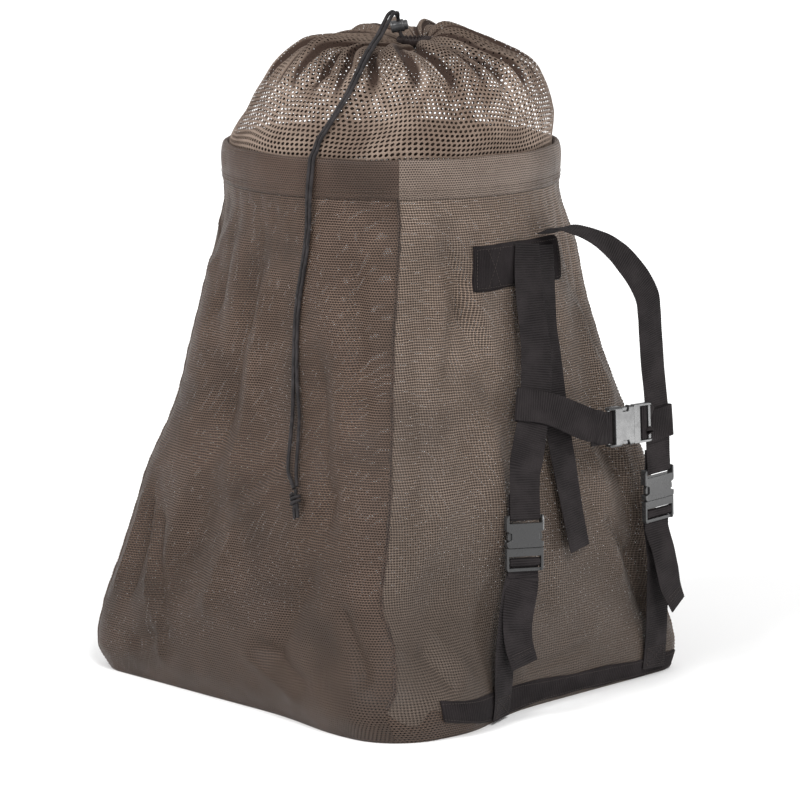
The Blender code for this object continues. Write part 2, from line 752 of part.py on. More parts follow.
def socket_solid(across, along, out):
    _, notch_foot, notch_top, cavity_top, slot_foot, slot_top, _ = SOCKET_LIMITS
    _, cavity_wall, bar_wall = SOCKET_WALLS
    if abs(across) > CAVITY_HALF:
        return not notch_foot < along < notch_top
    if along < cavity_top:
        return abs(out) > cavity_wall
    if along < slot_foot:
        return True
    return along > slot_top and abs(out) < bar_wall


def socket_shape(across, along, out):
    """Rounds the socket's outline at its four outer corners and its edges a little."""
    if abs(across) == SOCKET_HALF and along in (SOCKET_LIMITS[0], SOCKET_LIMITS[-1]):
        across -= math.copysign(0.0010, across)
        along -= math.copysign(0.0010, along)
    if abs(across) == SOCKET_HALF and abs(out) == SOCKET_WALLS[0]:
        out -= math.copysign(0.0008, out)
    return Vector((across, along, out))


def plug_solid(across, along, out):
    _, bar_top, rung_foot, rung_top, plate_foot, plate_top, root_top = PLUG_LIMITS[:7]
    bulge_foot, bulge_top = PLUG_LIMITS[7:9]
    _, prong_wall, bar_wall = PLUG_WALLS
    width = abs(across)
    if along < plate_top:
        if width > PLUG_INNER or along > plate_foot:
            return True
        return (along < bar_top or rung_foot < along < rung_top) and abs(out) < bar_wall
    if abs(out) > prong_wall:
        return False
    if width > PLUG_INNER:
        return bulge_foot < along < bulge_top
    return along < root_top or width < TONGUE_HALF or width > PRONG_INNER


def plug_shape(across, along, out):
    """Rounds the ladder's corners and slopes the prongs' shoulders and tips."""
    if abs(across) == PLUG_HALF and along == PLUG_LIMITS[-2]:
        along -= 0.0035
    if abs(across) == PLUG_INNER and along == PLUG_LIMITS[-1]:
        across -= math.copysign(0.0015, across)
    if abs(across) == PLUG_HALF and along == PLUG_LIMITS[0]:
        across -= math.copysign(0.0010, across)
        along += 0.0010
    return Vector((across, along, out))


def add_buckle(name, frame):
    """A side-release buckle fastened: the socket over the plug's prongs, its ladder outside."""
    planes = (both_sides(SOCKET_HALF, CAVITY_HALF), SOCKET_LIMITS, both_sides(*SOCKET_WALLS))
    add_blocks(name + "_socket", frame, planes, socket_solid, socket_shape)
    planes = (both_sides(PLUG_HALF, PLUG_INNER, PRONG_INNER, TONGUE_HALF), PLUG_LIMITS,
              both_sides(*PLUG_WALLS))
    add_blocks(name + "_plug", frame, planes, plug_solid, plug_shape)


def patch_surface(places, heights, lift, wall, name):
    """A strip of webbing that lies on the strap panel."""
    back = [[shell_point(place, height, -lift) for place in places] for height in heights]
    front = [[shell_point(place, height, -lift - wall) for place in places] for height in heights]
    return add_sheet(name, front, back, "webbing")


def crossing(stations, height):
    """The frame of a turn round a strap at a height: along runs to the left across the strap."""
    for (above, across), (below, _) in zip(stations, stations[1:]):
        if above.z >= height >= below.z:
            share = (above.z - height) / (above.z - below.z)
            upwards = (above - below).normalized()
            return BuckleFrame(above.lerp(below, share), 0.0, -across, upwards)
    raise ValueError("the strap doesn't pass that height")


def add_webbing(frames):
    patch_surface(np.linspace(*PATCH_PLACES, 9), PATCH_HEIGHTS, PATCH_LIFT, 2.0 * WEB_WALL, "strap_patch")
    patch_surface(np.linspace(*STRIP_PLACES, 15), STRIP_HEIGHTS, STRIP_LIFT, WEB_WALL, "base_strip")

    def joined(route, frame, pairs):
        last = frame.at(pairs[0][0] + 0.020, pairs[0][1])
        rows = tuple(route) + ((*last, frame.yaw()), (*frame.at(*pairs[0]), frame.yaw()))
        return strap_route(rows)[:-1] + frame.stations(pairs)

    left_strap = joined(LEFT_STRAP, frames["left"], SOCKET_WRAP)
    right_strap = joined(RIGHT_STRAP, frames["right"], SOCKET_WRAP)
    add_ribbon("left_strap", left_strap)
    add_ribbon("left_strap_layer", strap_route(LEFT_LAYER))
    add_ribbon("right_strap", right_strap)
    for side, anchor, tail in (("left", LEFT_ANCHOR, LEFT_TAIL), ("right", RIGHT_ANCHOR, RIGHT_TAIL)):
        frame = frames[side]
        upper = tuple(anchor) + ((*frame.at(*LADDER_WRAP[0]), frame.yaw()),)
        lower = ((*frame.at(*LADDER_WRAP[-1]), frame.yaw()),) + tuple(tail)
        stations = (strap_route(upper)[:-1] + frame.stations(LADDER_WRAP) + strap_route(lower)[1:])
        add_ribbon(side + "_anchor_strap", stations)

    turn = ((-CROSSING_BACK, -CROSSING_OUT),) + CROSSING_TURN + ((-CROSSING_FRONT, CROSSING_OUT),)
    left = crossing(left_strap, LEFT_CROSSING).stations(turn) + frames["sternum"].stations(SOCKET_WRAP)
    add_ribbon("sternum_strap_left", left)
    turn = tuple((-along, out) for along, out in turn)
    right = (crossing(right_strap, RIGHT_CROSSING).stations(turn)
             + frames["sternum"].stations(LADDER_WRAP[:-1]))
    add_ribbon("sternum_strap_right", right)


def lock_frame():
    """The cord lock's axes as a matrix: barrel axis, depth, hole axis, and the hole's middle."""
    lean = math.radians(LOCK_LEAN)
    depth = Vector((1.0, 1.0, 0.0)).normalized()
    axis = RIGHTWARDS * math.cos(lean) + Vector((0.0, 0.0, math.sin(lean)))
    hole = axis.cross(depth) * -1.0
    if hole.z < 0.0:
        hole = hole * -1.0
    middle = RIGHTWARDS * LOCK_MIDDLE[0] + depth * LOCK_MIDDLE[1] + Vector((0.0, 0.0, LOCK_MIDDLE[2]))
    columns = (axis, depth, hole, middle)
    return Matrix([[column[line] for column in columns] for line in range(3)] + [[0.0, 0.0, 0.0, 1.0]])


def add_turned(name, profile, finish):
    """A solid turned round the lock's barrel axis from a closed profile of place and radius pairs."""
    points, rings = [], []
    for place, radius in profile:
        if radius == 0.0:
            rings.append([len(points)] * LOCK_SIDES)
            points.append(Vector((place, 0.0, 0.0)))
            continue
        rings.append(list(range(len(points), len(points) + LOCK_SIDES)))
        for side in range(LOCK_SIDES):
            angle = math.tau * (side + 0.5) / LOCK_SIDES
            points.append(Vector((place, radius * math.cos(angle), radius * math.sin(angle))))
    faces = []
    for before, after in zip(rings, rings[1:]):
        for side in range(LOCK_SIDES):
            beside = (side + 1) % LOCK_SIDES
            face = []
            for corner in (before[side], before[beside], after[beside], after[side]):
                if corner not in face:
                    face.append(corner)
            faces.append(tuple(face))
    item = add_solid(name, points, faces, finish)
    item.matrix_world = lock_frame()
    return item


def cut_hole(item, limits):
    """The oval hole across the lock for the two strands, cut with a hidden helper."""
    reach = 2.0 * BARREL_RADIUS
    corner = HOLE_HALF_WIDTH - 0.0014
    foot, top = limits
    outline = ((foot, -corner), (foot + 0.0014, -HOLE_HALF_WIDTH), (top - 0.0014, -HOLE_HALF_WIDTH),
               (top, -corner), (top, corner), (top - 0.0014, HOLE_HALF_WIDTH),
               (foot + 0.0014, HOLE_HALF_WIDTH), (foot, corner))
    count = len(outline)
    points = [Vector((place, depth, side * reach)) for side in (-1, 1) for place, depth in outline]
    faces = [tuple(range(count)), tuple(range(count, 2 * count))]
    for index in range(count):
        after = (index + 1) % count
        faces.append((index, after, count + after, count + index))
    tool = add_solid(item.name + "_hole_cutter", points, faces, "lock_plastic")
    tool.matrix_world = lock_frame()
    tool.hide_render = True
    tool.display_type = "WIRE"
    change = item.modifiers.new(tool.name, "BOOLEAN")
    change.operation = "DIFFERENCE"
    change.solver = "EXACT"
    change.object = tool


def add_lock():
    """The cord lock: an open barrel and the button that slides into it along its axis."""
    left, right = BARREL_ENDS
    barrel = add_turned("cord_lock_barrel", (
        (left, 0.0), (left, BARREL_RADIUS - 0.0012), (left + 0.0012, BARREL_RADIUS),
        (right, BARREL_RADIUS), (right, BORE_RADIUS),
        (left + BARREL_FLOOR, BORE_RADIUS), (left + BARREL_FLOOR, 0.0)), "lock_plastic")
    cut_hole(barrel, BARREL_HOLE)
    left, right = BUTTON_ENDS
    button = add_turned("cord_lock_button", (
        (left, 0.0), (left, BUTTON_RADIUS), (right - 0.0014, BUTTON_RADIUS),
        (right, BUTTON_RADIUS - 0.0014), (right, 0.0)), "lock_plastic")
    cut_hole(button, BUTTON_HOLE)


def add_cord(name, points):
    """A cord as a round curve through points, its ends filled."""
    curve = bpy.data.curves.new(name, "CURVE")
    curve.dimensions = "3D"
    curve.bevel_depth = CORD_DIAMETER / 2.0
    curve.bevel_resolution = (CORD_SIDES - 4) // 2
    curve.use_fill_caps = True
    curve.render_resolution_u = 0
    line = curve.splines.new("POLY")
    line.points.add(len(points) - 1)
    for place, point in zip(line.points, points):
        place.co = (*point, 1.0)
    item = bpy.data.objects.new(name, curve)
    bpy.context.scene.collection.objects.link(item)
    curve.materials.append(material("cord"))
    return item


def strand_points(side):
    """One of the drawstring's two strands: side 1 lies farther back at the lock, -1 nearer."""
    depth = Vector((1.0, 1.0, 0.0)).normalized()
    rows = []
    for right, back, height, half in CORD_START:
        middle = RIGHTWARDS * right + depth * back
        rows.append((middle.x, middle.y, height, half, 45.0))
    rows += curve_through(CORD_ROUTE, CORD_SPACING)
    points = []
    for row, (middle, tangent) in zip(rows, middle_out([Vector(row[:3]) for row in rows])):
        direction = yaw_direction(row[4])
        direction = (direction - tangent * direction.dot(tangent)).normalized()
        points.append(middle + direction * side * row[3])
    return points


def add_drawstring():
    depth = Vector((1.0, 1.0, 0.0)).normalized()
    middle = RIGHTWARDS * MOUTH_MIDDLE[0] + Vector((0.0, 0.0, MOUTH_MIDDLE[2]))
    loop = []
    for index in range(9):
        angle = math.radians(LOOP_TURN * (index - 4) / 4.0)
        loop.append(middle + RIGHTWARDS * LOOP_RADIUS * math.cos(angle)
                    + depth * LOOP_RADIUS * math.sin(angle))
    add_cord("drawstring_loop", loop)
    add_cord("drawstring_left", strand_points(1))
    add_cord("drawstring_right", strand_points(-1))

    top, foot = Vector(KNOT_TOP), Vector(KNOT_FOOT)
    down = (foot - top).normalized()
    wide = down.cross(Vector(KNOT_OUTWARDS)).normalized()
    out = wide.cross(down).normalized()
    points, faces = [], []
    for way, half_width, half_depth in KNOT:
        for side in range(KNOT_SIDES):
            angle = math.tau * side / KNOT_SIDES
            points.append(top.lerp(foot, way) + wide * half_width * math.cos(angle)
                          + out * half_depth * math.sin(angle))
    for start in range(0, len(points) - KNOT_SIDES, KNOT_SIDES):
        for side in range(KNOT_SIDES):
            after = (side + 1) % KNOT_SIDES
            faces.append((start + side, start + after, start + KNOT_SIDES + after,
                          start + KNOT_SIDES + side))
    faces.append(tuple(range(KNOT_SIDES)))
    faces.append(tuple(range(len(points) - KNOT_SIDES, len(points))))
    add_solid("drawstring_knot", points, faces, "cord", smooth_angle=60.0)


def build():
    clear_scene()
    add_panel("strap_panel", 0, "mesh_taupe")
    add_panel("right_panel", 1, "mesh_brown")
    add_panel("back_panel", 2, "mesh_brown")
    add_panel("left_panel", 3, "mesh_brown")
    add_base()
    for corner, (name, finish) in enumerate((("front_seam", "mesh_taupe"), ("right_seam", "mesh_taupe"),
                                             ("rear_seam", "mesh_brown"), ("left_seam", "mesh_brown"))):
        add_seam(name, corner, finish)
    add_rim()
    add_collar()
    frames = {name: BuckleFrame(*place) for name, place in BUCKLES.items()}
    add_webbing(frames)
    for name, frame in frames.items():
        add_buckle(name + "_buckle", frame)
    add_lock()
    add_drawstring()


build()
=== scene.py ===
"""Looks of the mesh carry bag: fabric shell, net collar, webbing, buckles, cord lock and drawstring.

Metres, +Z up, in the part's own frame. Places round the bag are given in panels: 0 is the front corner
(-X -Y), 0 to 1 the strap panel, 1 to 2 the right panel (+X), 2 to 3 the back panel (+Y) and 3 to 4 the
left panel (-X).
"""
import math

import bmesh
import bpy
import numpy as np
from mathutils import Matrix, Vector


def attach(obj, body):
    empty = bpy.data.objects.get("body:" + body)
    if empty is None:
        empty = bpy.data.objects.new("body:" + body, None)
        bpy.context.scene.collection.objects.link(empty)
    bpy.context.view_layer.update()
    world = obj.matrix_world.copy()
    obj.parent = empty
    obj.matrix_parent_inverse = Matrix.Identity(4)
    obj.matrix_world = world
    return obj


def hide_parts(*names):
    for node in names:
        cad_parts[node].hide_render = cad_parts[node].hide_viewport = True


# Camera
EYE = (-3.3866, -3.4014, 1.22)
VIEW_TURN = 45.0
VIEW_PITCH = 10.57
FOCAL_PIXELS = 4105.0
IMAGE_PIXELS = 800.0
SENSOR = 36.0
CLIP_END = 200.0

# Fabric, rim and hem
CLOTH = 0.0015
GAP = 0.0003
RIM_HEIGHT = 0.6365
HEM_FOOT = 0.5915
HEM_BULGE = 0.0018
HEM_TURN = 0.03
HEM_COLUMNS = 84
HEM_RIPPLE = 0.00035
HEM_PUCKER = 0.0007
HEM_PUCKER_LENGTH = 0.0125
HEM_PUCKER_TOP = 0.02
HEM_SAG = 0.0004
HEM_SAG_DEPTH = 0.008
HEM_OUTER_ROWS = 12
SHELL_TOP = 0.6342
SHELL_RIM_RADIUS = 0.1965
HOOP_WALL = 0.0024
HOOP_WIDTH = 0.027
HOOP_EDGE = 0.0005
HOOP_COLUMNS = 240
PANEL_COLUMNS = 92
PANEL_ROWS = 128
SEWN_UNDER = 0.004
TABLE_HEIGHTS = 641
TABLE_WAYS = 501
TABLE_TURNS = 129
MERGE_REACH = 0.00001
HARD_EDGE = 50.0

# Cloth as it lies flat: metres of width for each panel round the bag, and of length for each metre of
# height
CREASE_PANEL = 0.40
STRIP_PANEL = 0.42
BASE_PANEL = 0.45
NET_PANEL = 0.24
CLOTH_SLACK = 1.04

# Uneven surfaces: number, lengths and greatest sum of their waves, and the seeds that place them
RIPPLE_WAVES = 12
RIPPLE_LENGTHS = (0.012, 0.060)
RIPPLE_SUM = 2.4
SHELL_SEED = 5
NET_SEED = 11
BASE_SEED = 21
HEM_SEED = 31

# Webbing, buckles and cord
WEB_WIDTH = 0.038
WEB_WALL = 0.0015
CORD_DIAMETER = 0.004
WEB_PROFILE = (
    (-1.0, -0.10), (-0.985, 0.62), (-0.955, 0.96), (-0.60, 1.0), (-0.20, 1.0), (0.20, 1.0), (0.60, 1.0),
    (0.955, 0.96), (0.985, 0.62), (1.0, -0.10), (0.985, -0.70), (0.955, -0.98), (0.60, -1.0),
    (0.20, -1.0), (-0.20, -1.0), (-0.60, -1.0), (-0.955, -0.98), (-0.985, -0.70),
)
STRAP_SPACING = 0.024

# Shell sections: height, reach of the corners from the axis, rounding of the corners,
# lean towards the +X -Y corner, and sway of the front corner seam the same way
SECTIONS = (
    (0.000, 0.3350, 0.0450, -0.002, 0.008),
    (0.030, 0.3450, 0.0480, -0.006, 0.006),
    (0.083, 0.3330, 0.0550, -0.008, 0.008),
    (0.142, 0.3170, 0.0620, -0.002, -0.010),
    (0.191, 0.3060, 0.0700, 0.003, -0.010),
    (0.245, 0.2930, 0.0850, 0.006, -0.006),
    (0.324, 0.2620, 0.1000, 0.007, -0.003),
    (0.391, 0.2430, 0.1200, 0.004, 0.001),
    (0.457, 0.2260, 0.1400, 0.003, 0.003),
    (0.517, 0.2130, 0.1650, 0.004, 0.003),
    (0.565, 0.1985, 0.1900, 0.002, 0.003),
    (0.5905, 0.1965, 0.1965, 0.000, 0.000),
    (0.640, 0.1965, 0.1965, 0.000, 0.000),
)
SWAY_REACH = 0.16

# Folds and bulges of the shell: place in panels, height, half width, half length,
# rise outwards, and sideways run for each metre up
FOLDS = (
    (0.50, 0.160, 0.180, 0.130, 0.014, 0.0),
    (0.17, 0.020, 0.075, 0.060, 0.030, 0.0),
    (0.10, 0.130, 0.040, 0.060, -0.010, 0.4),
    (0.18, 0.400, 0.028, 0.130, -0.009, -0.25),
    (0.30, 0.330, 0.036, 0.120, 0.008, -0.20),
    (0.80, 0.330, 0.030, 0.140, -0.009, 0.10),
    (0.92, 0.250, 0.030, 0.120, 0.007, 0.10),
    (0.86, 0.120, 0.032, 0.070, -0.010, -0.30),
    (1.50, 0.170, 0.170, 0.130, 0.014, 0.0),
    (1.25, 0.300, 0.034, 0.150, -0.009, 0.15),
    (1.72, 0.360, 0.036, 0.140, -0.009, -0.15),
    (2.50, 0.160, 0.180, 0.130, 0.016, 0.0),
    (2.30, 0.330, 0.036, 0.140, -0.009, 0.20),
    (2.68, 0.380, 0.034, 0.120, -0.008, -0.15),
    (3.55, 0.140, 0.140, 0.110, 0.016, 0.0),
    (3.40, 0.262, 0.110, 0.026, 0.008, 0.0),
    (3.10, 0.185, 0.022, 0.075, -0.010, 0.10),
    (3.22, 0.160, 0.022, 0.085, 0.008, 0.15),
    (3.32, 0.190, 0.024, 0.080, -0.009, 0.20),
    (3.20, 0.440, 0.030, 0.120, -0.009, -0.30),
    (3.52, 0.430, 0.036, 0.120, -0.008, 0.25),
    (3.78, 0.320, 0.034, 0.130, 0.007, 0.15),
    (3.88, 0.010, 0.080, 0.060, 0.022, 0.0),
)
FOLD_TOP = 0.575
FOLD_FADE = 0.070

# Creases of the cloth: from place and height to place and height, half width and rise.
# They fade to a share of their rise at both ends.
CREASE_END = 0.35
CREASE_TAPER = 4.0
CREASES = (
    # strap panel: below the patch, beside the right corner and taut across its foot
    (0.17, 0.545, 0.25, 0.487, 0.010, -0.0093),
    (0.25, 0.490, 0.19, 0.385, 0.012, -0.0093),
    (0.27, 0.485, 0.43, 0.395, 0.010, 0.0059),
    (0.24, 0.465, 0.37, 0.385, 0.010, -0.0062),
    (0.10, 0.560, 0.12, 0.430, 0.011, -0.0054),
    (0.74, 0.205, 0.85, 0.155, 0.008, -0.0101),
    (0.85, 0.158, 0.92, 0.062, 0.010, -0.0116),
    (0.70, 0.195, 0.87, 0.095, 0.011, 0.0054),
    (0.45, 0.056, 0.76, 0.075, 0.007, 0.0040),
    (0.42, 0.046, 0.70, 0.056, 0.006, -0.0047),
    (0.08, 0.100, 0.16, 0.050, 0.008, -0.0078),
    (0.13, 0.115, 0.22, 0.060, 0.008, 0.0047),
    (0.78, 0.560, 0.86, 0.440, 0.011, -0.0085),
    (0.90, 0.570, 0.93, 0.380, 0.010, -0.0070),
    (0.84, 0.480, 0.90, 0.330, 0.010, 0.0054),
    (0.62, 0.300, 0.72, 0.210, 0.012, -0.0062),
    (0.93, 0.330, 0.88, 0.200, 0.010, -0.0078),
    # left panel: pinched at its far corner, slack above and below the middle
    (3.06, 0.225, 3.05, 0.100, 0.006, 0.0062),
    (3.09, 0.215, 3.13, 0.095, 0.007, -0.0093),
    (3.11, 0.215, 3.23, 0.095, 0.006, 0.0062),
    (3.23, 0.095, 3.29, 0.030, 0.006, 0.0054),
    (3.16, 0.205, 3.27, 0.090, 0.007, -0.0078),
    (3.12, 0.585, 3.01, 0.500, 0.008, -0.0093),
    (3.23, 0.550, 3.08, 0.480, 0.008, 0.0047),
    (3.30, 0.575, 3.18, 0.430, 0.010, -0.0070),
    (3.46, 0.560, 3.38, 0.420, 0.011, -0.0062),
    (3.62, 0.300, 3.44, 0.235, 0.011, -0.0078),
    (3.66, 0.285, 3.48, 0.215, 0.010, 0.0047),
    (3.84, 0.270, 3.70, 0.190, 0.012, -0.0078),
    (3.90, 0.145, 3.96, 0.060, 0.008, -0.0093),
    (3.60, 0.085, 3.84, 0.045, 0.008, -0.0062),
    (3.56, 0.070, 3.80, 0.028, 0.008, 0.0040),
    (3.30, 0.070, 3.12, 0.045, 0.010, -0.0062),
    # right and back panels
    (1.08, 0.560, 1.16, 0.430, 0.010, -0.0078),
    (1.22, 0.450, 1.34, 0.300, 0.011, -0.0085),
    (1.40, 0.540, 1.36, 0.400, 0.010, -0.0062),
    (1.80, 0.560, 1.72, 0.420, 0.011, -0.0078),
    (1.10, 0.160, 1.26, 0.055, 0.008, -0.0085),
    (1.14, 0.180, 1.32, 0.075, 0.008, 0.0047),
    (1.62, 0.120, 1.88, 0.050, 0.010, -0.0078),
    (1.66, 0.280, 1.86, 0.170, 0.012, -0.0070),
    (2.10, 0.150, 2.28, 0.050, 0.008, -0.0085),
    (2.20, 0.560, 2.26, 0.420, 0.010, -0.0078),
    (2.34, 0.420, 2.50, 0.280, 0.012, -0.0078),
    (2.62, 0.550, 2.70, 0.400, 0.011, -0.0078),
    (2.70, 0.140, 2.90, 0.055, 0.008, -0.0085),
    (2.76, 0.165, 2.93, 0.090, 0.007, 0.0047),
    (2.86, 0.400, 2.94, 0.250, 0.010, -0.0078),
    # broad soft folds
    (0.17, 0.540, 0.34, 0.330, 0.018, -0.0150),
    (0.30, 0.420, 0.36, 0.180, 0.022, 0.0100),
    (0.06, 0.480, 0.10, 0.220, 0.016, -0.0090),
    (0.48, 0.300, 0.52, 0.110, 0.020, -0.0090),
    (0.80, 0.330, 0.90, 0.130, 0.016, -0.0140),
    (0.72, 0.300, 0.80, 0.120, 0.018, 0.0090),
    (3.40, 0.520, 3.30, 0.280, 0.018, -0.0150),
    (3.44, 0.500, 3.40, 0.260, 0.020, 0.0090),
    (3.84, 0.540, 3.90, 0.330, 0.016, -0.0110),
    (3.72, 0.420, 3.82, 0.200, 0.018, -0.0120),
    (3.80, 0.180, 3.62, 0.060, 0.016, -0.0110),
    (3.50, 0.250, 3.40, 0.100, 0.018, 0.0080),
    (1.44, 0.400, 1.52, 0.150, 0.020, -0.0120),
    (1.30, 0.260, 1.20, 0.080, 0.018, 0.0090),
    (1.68, 0.520, 1.60, 0.280, 0.018, -0.0120),
    (2.42, 0.480, 2.36, 0.240, 0.020, -0.0120),
    (2.66, 0.280, 2.74, 0.090, 0.018, -0.0100),
    (2.16, 0.500, 2.22, 0.260, 0.018, -0.0110),
)

# Where cord and webbing lie on the cloth, so that it only folds inwards: place, half width in metres,
# and lowest and highest height
PRESSED = (
    (3.655, 0.022, 0.230, 0.600),
    (0.470, 0.040, 0.000, 0.560),
    (0.600, 0.034, 0.170, 0.560),
    (0.290, 0.030, 0.000, 0.170),
    (0.940, 0.030, 0.000, 0.180),
)
PRESSED_EDGE = 1.6
PRESSED_FADE = 0.02
PUCKERS = 46
PUCKER_DEPTH = 0.0016
PUCKER_START = 0.010
PUCKER_REACH = 0.045
RIPPLE = 0.00028
RIPPLE_FOOT = 0.012
RIPPLE_TOP = 0.02

# Front seam: height and how far its line lies past the corner, in panels
SEAM_LINE = (
    (0.000, 0.000),
    (0.040, -0.004),
    (0.055, 0.006),
    (0.083, 0.008),
    (0.115, 0.016),
    (0.142, 0.004),
    (0.191, 0.000),
    (0.330, -0.008),
    (0.450, -0.006),
    (0.540, 0.008),
    (0.5915, 0.026),
    (0.640, 0.030),
)

# Lower edge of the strap panel's cloth above the brown base cloth: place and height
TAUPE_FOOT = (
    (0.000, 0.0360),
    (0.020, 0.0250),
    (0.040, 0.0190),
    (0.056, 0.0270),
    (0.070, 0.0380),
    (0.110, 0.0300),
    (0.200, 0.0150),
    (0.290, 0.0040),
    (0.330, 0.0000),
    (1.000, 0.0000),
)
BASE_LIFT = 0.0011
BASE_RIPPLE = 0.0003
BASE_GRID = (28, 192)
BASE_EDGE = (-0.004, 0.330)
BASE_EDGE_GRID = (12, 60)
BASE_EDGE_BACK = 0.0004

# Collar sections: way from the rim (0) to the mouth (1), height, radius,
# lean towards the +X -Y corner, and depth of the pleats
COLLAR = (
    (0.00, 0.6200, 0.1895, 0.000, 0.0000),
    (0.10, 0.6400, 0.1890, 0.000, 0.0000),
    (0.25, 0.6710, 0.1810, 0.010, 0.0008),
    (0.40, 0.7040, 0.1660, 0.014, 0.0018),
    (0.52, 0.7270, 0.1500, 0.014, 0.0028),
    (0.62, 0.7420, 0.1260, 0.010, 0.0042),
    (0.71, 0.7520, 0.0980, 0.003, 0.0054),
    (0.79, 0.7560, 0.0700, 0.004, 0.0056),
    (0.87, 0.7570, 0.0460, 0.011, 0.0050),
    (0.94, 0.7560, 0.0280, 0.021, 0.0036),
    (1.00, 0.7500, 0.0172, 0.027, 0.0022),
)
PLEATS = 12
PLEAT_TURN = 0.35
COLLAR_LUMPS = (
    (3.25, 0.68, 0.20, 0.10, 0.006),
    (3.72, 0.62, 0.20, 0.12, -0.009),
    (0.75, 0.52, 0.26, 0.14, 0.006),
    (1.10, 0.80, 0.60, 0.11, 0.013),
    (2.04, 0.79, 0.44, 0.11, 0.0115),
    (2.60, 0.50, 0.30, 0.20, -0.006),
    (2.54, 0.68, 0.24, 0.09, -0.010),
    (0.08, 0.90, 0.80, 0.13, -0.0105),
)

# Finer gathers of the net, pressed inwards: way where they start, where they are deepest, and depth
GATHERS = 25
GATHER_START = 0.34
GATHER_FULL = 0.60
GATHER_DEPTH = 0.0130
GATHER_FRONT = 0.1
GATHER_RADIUS = 0.06

# Folds of the net: from place and way to place and way, half width in metres and rise
NET_FOLDS = (
    (3.62, 0.60, 3.36, 0.28, 0.007, -0.0060),
    (3.50, 0.62, 3.22, 0.30, 0.008, 0.0022),
    (3.90, 0.60, 3.78, 0.22, 0.007, -0.0050),
    (0.16, 0.62, 0.26, 0.24, 0.007, -0.0050),
    (0.42, 0.66, 0.56, 0.30, 0.007, -0.0060),
    (0.66, 0.70, 0.84, 0.34, 0.007, -0.0055),
    (1.10, 0.66, 1.22, 0.26, 0.008, -0.0055),
    (1.52, 0.66, 1.50, 0.28, 0.008, -0.0055),
    (1.92, 0.64, 2.06, 0.24, 0.008, -0.0050),
    (2.40, 0.64, 2.36, 0.22, 0.008, -0.0055),
    (2.84, 0.62, 2.96, 0.24, 0.008, -0.0050),
)
NET_CELLS = 200
NET_ROWS = 48
NET_HOLE = (0.62, 0.54)
NET_RIDGE = 0.00035
NET_SLANT = 0.16
NET_FAR_CLOSED = 0.42
NET_RIPPLE = 0.0004
NET_RIPPLE_PANEL = 0.28

RIGHTWARDS = Vector((1.0, -1.0, 0.0)).normalized()
DEPTHWARDS = Vector((1.0, 1.0, 0.0)).normalized()

# Felled seams: half widths, rise, foot and number of rows, how far they wander and swell and how
# often, section across, and side and rise of their two stitch lines
SEAM_HALF_WIDTH = 0.0034
FRONT_SEAM_HALF_WIDTH = 0.0019
SEAM_RISE = 0.0011
SEAM_SPAN = (0.0005, 190)
FRONT_SEAM_SPAN = (0.040, 180)
SEAM_WANDER = ((0.0005, 260.0, 1.0), (0.0004, 97.0, 2.0))
SEAM_SWELL = ((0.22, 330.0, 2.0), (0.15, 140.0, 0.0))
SEAM_PROFILE = ((-1.0, 0.05), (-0.93, 0.55), (-0.70, 0.80), (-0.30, 0.92), (0.0, 1.0), (0.25, 0.62),
                (0.62, 0.55), (0.92, 0.42), (1.0, 0.05))
SEAM_STITCHES = ((-0.72, 0.82), (0.66, 0.58))
HEM_STITCHES = ((0.0045, 0.0006), (0.0095, 0.0010))

# Stitches: one stitch's sizes and rings along it, the corners that each kind of sewing joins, and
# the distances from a strap's sewn end between which it is sewn
STITCH_LENGTH = 0.0030
STITCH_GAP = 0.0012
STITCH_RADIUS = 0.00034
STITCH_RINGS = ((0.0, 0.35, -0.3), (0.18, 1.0, 0.55), (0.5, 1.05, 0.75), (0.82, 1.0, 0.55),
                (1.0, 0.35, -0.3))
STITCH_SIDES = 5
STITCH_HALF_WIDTH = 0.0145
STITCH_STEPS = 24
ANCHOR_SEWN = (0.004, 0.026)
TAIL_SEWN = (0.016, 0.012)
STRAP_SEWN = (0.006, 0.040)
LAYER_SEWN = (0.004, 0.030)
STITCH_KINDS = {
    "box": ((0, 1), (1, 2), (2, 3), (3, 0)),
    "cross": ((0, 2), (1, 3)),
    "bars": ((0, 1), (3, 2)),
}

# Patch that carries the shoulder straps, and the strip along the strap panel's foot
PATCH_PLACES = (0.285, 0.715)
PATCH_HEIGHTS = (0.484, 0.536)
PATCH_STITCHES = (
    ((0.295, 0.488), (0.705, 0.488), (0.705, 0.532), (0.295, 0.532), (0.295, 0.488)),
    ((0.340, 0.488), (0.400, 0.532)),
    ((0.400, 0.488), (0.340, 0.532)),
)
PATCH_GRID = (18, 260)
STRIP_GRID = (14, 620)
STRIP_LIFT = 0.0010
STRIP_BACK = 0.0008
STITCH_INSET = 0.003
STITCH_LIFT = 0.0002
STRIP = (
    (0.090, 0.0220, 0.0450),
    (0.200, 0.0085, 0.0390),
    (0.300, 0.0015, 0.0365),
    (0.400, 0.0030, 0.0350),
    (0.510, 0.0045, 0.0310),
    (0.650, 0.0040, 0.0280),
    (0.820, 0.0012, 0.0240),
    (0.985, 0.0010, 0.0225),
)

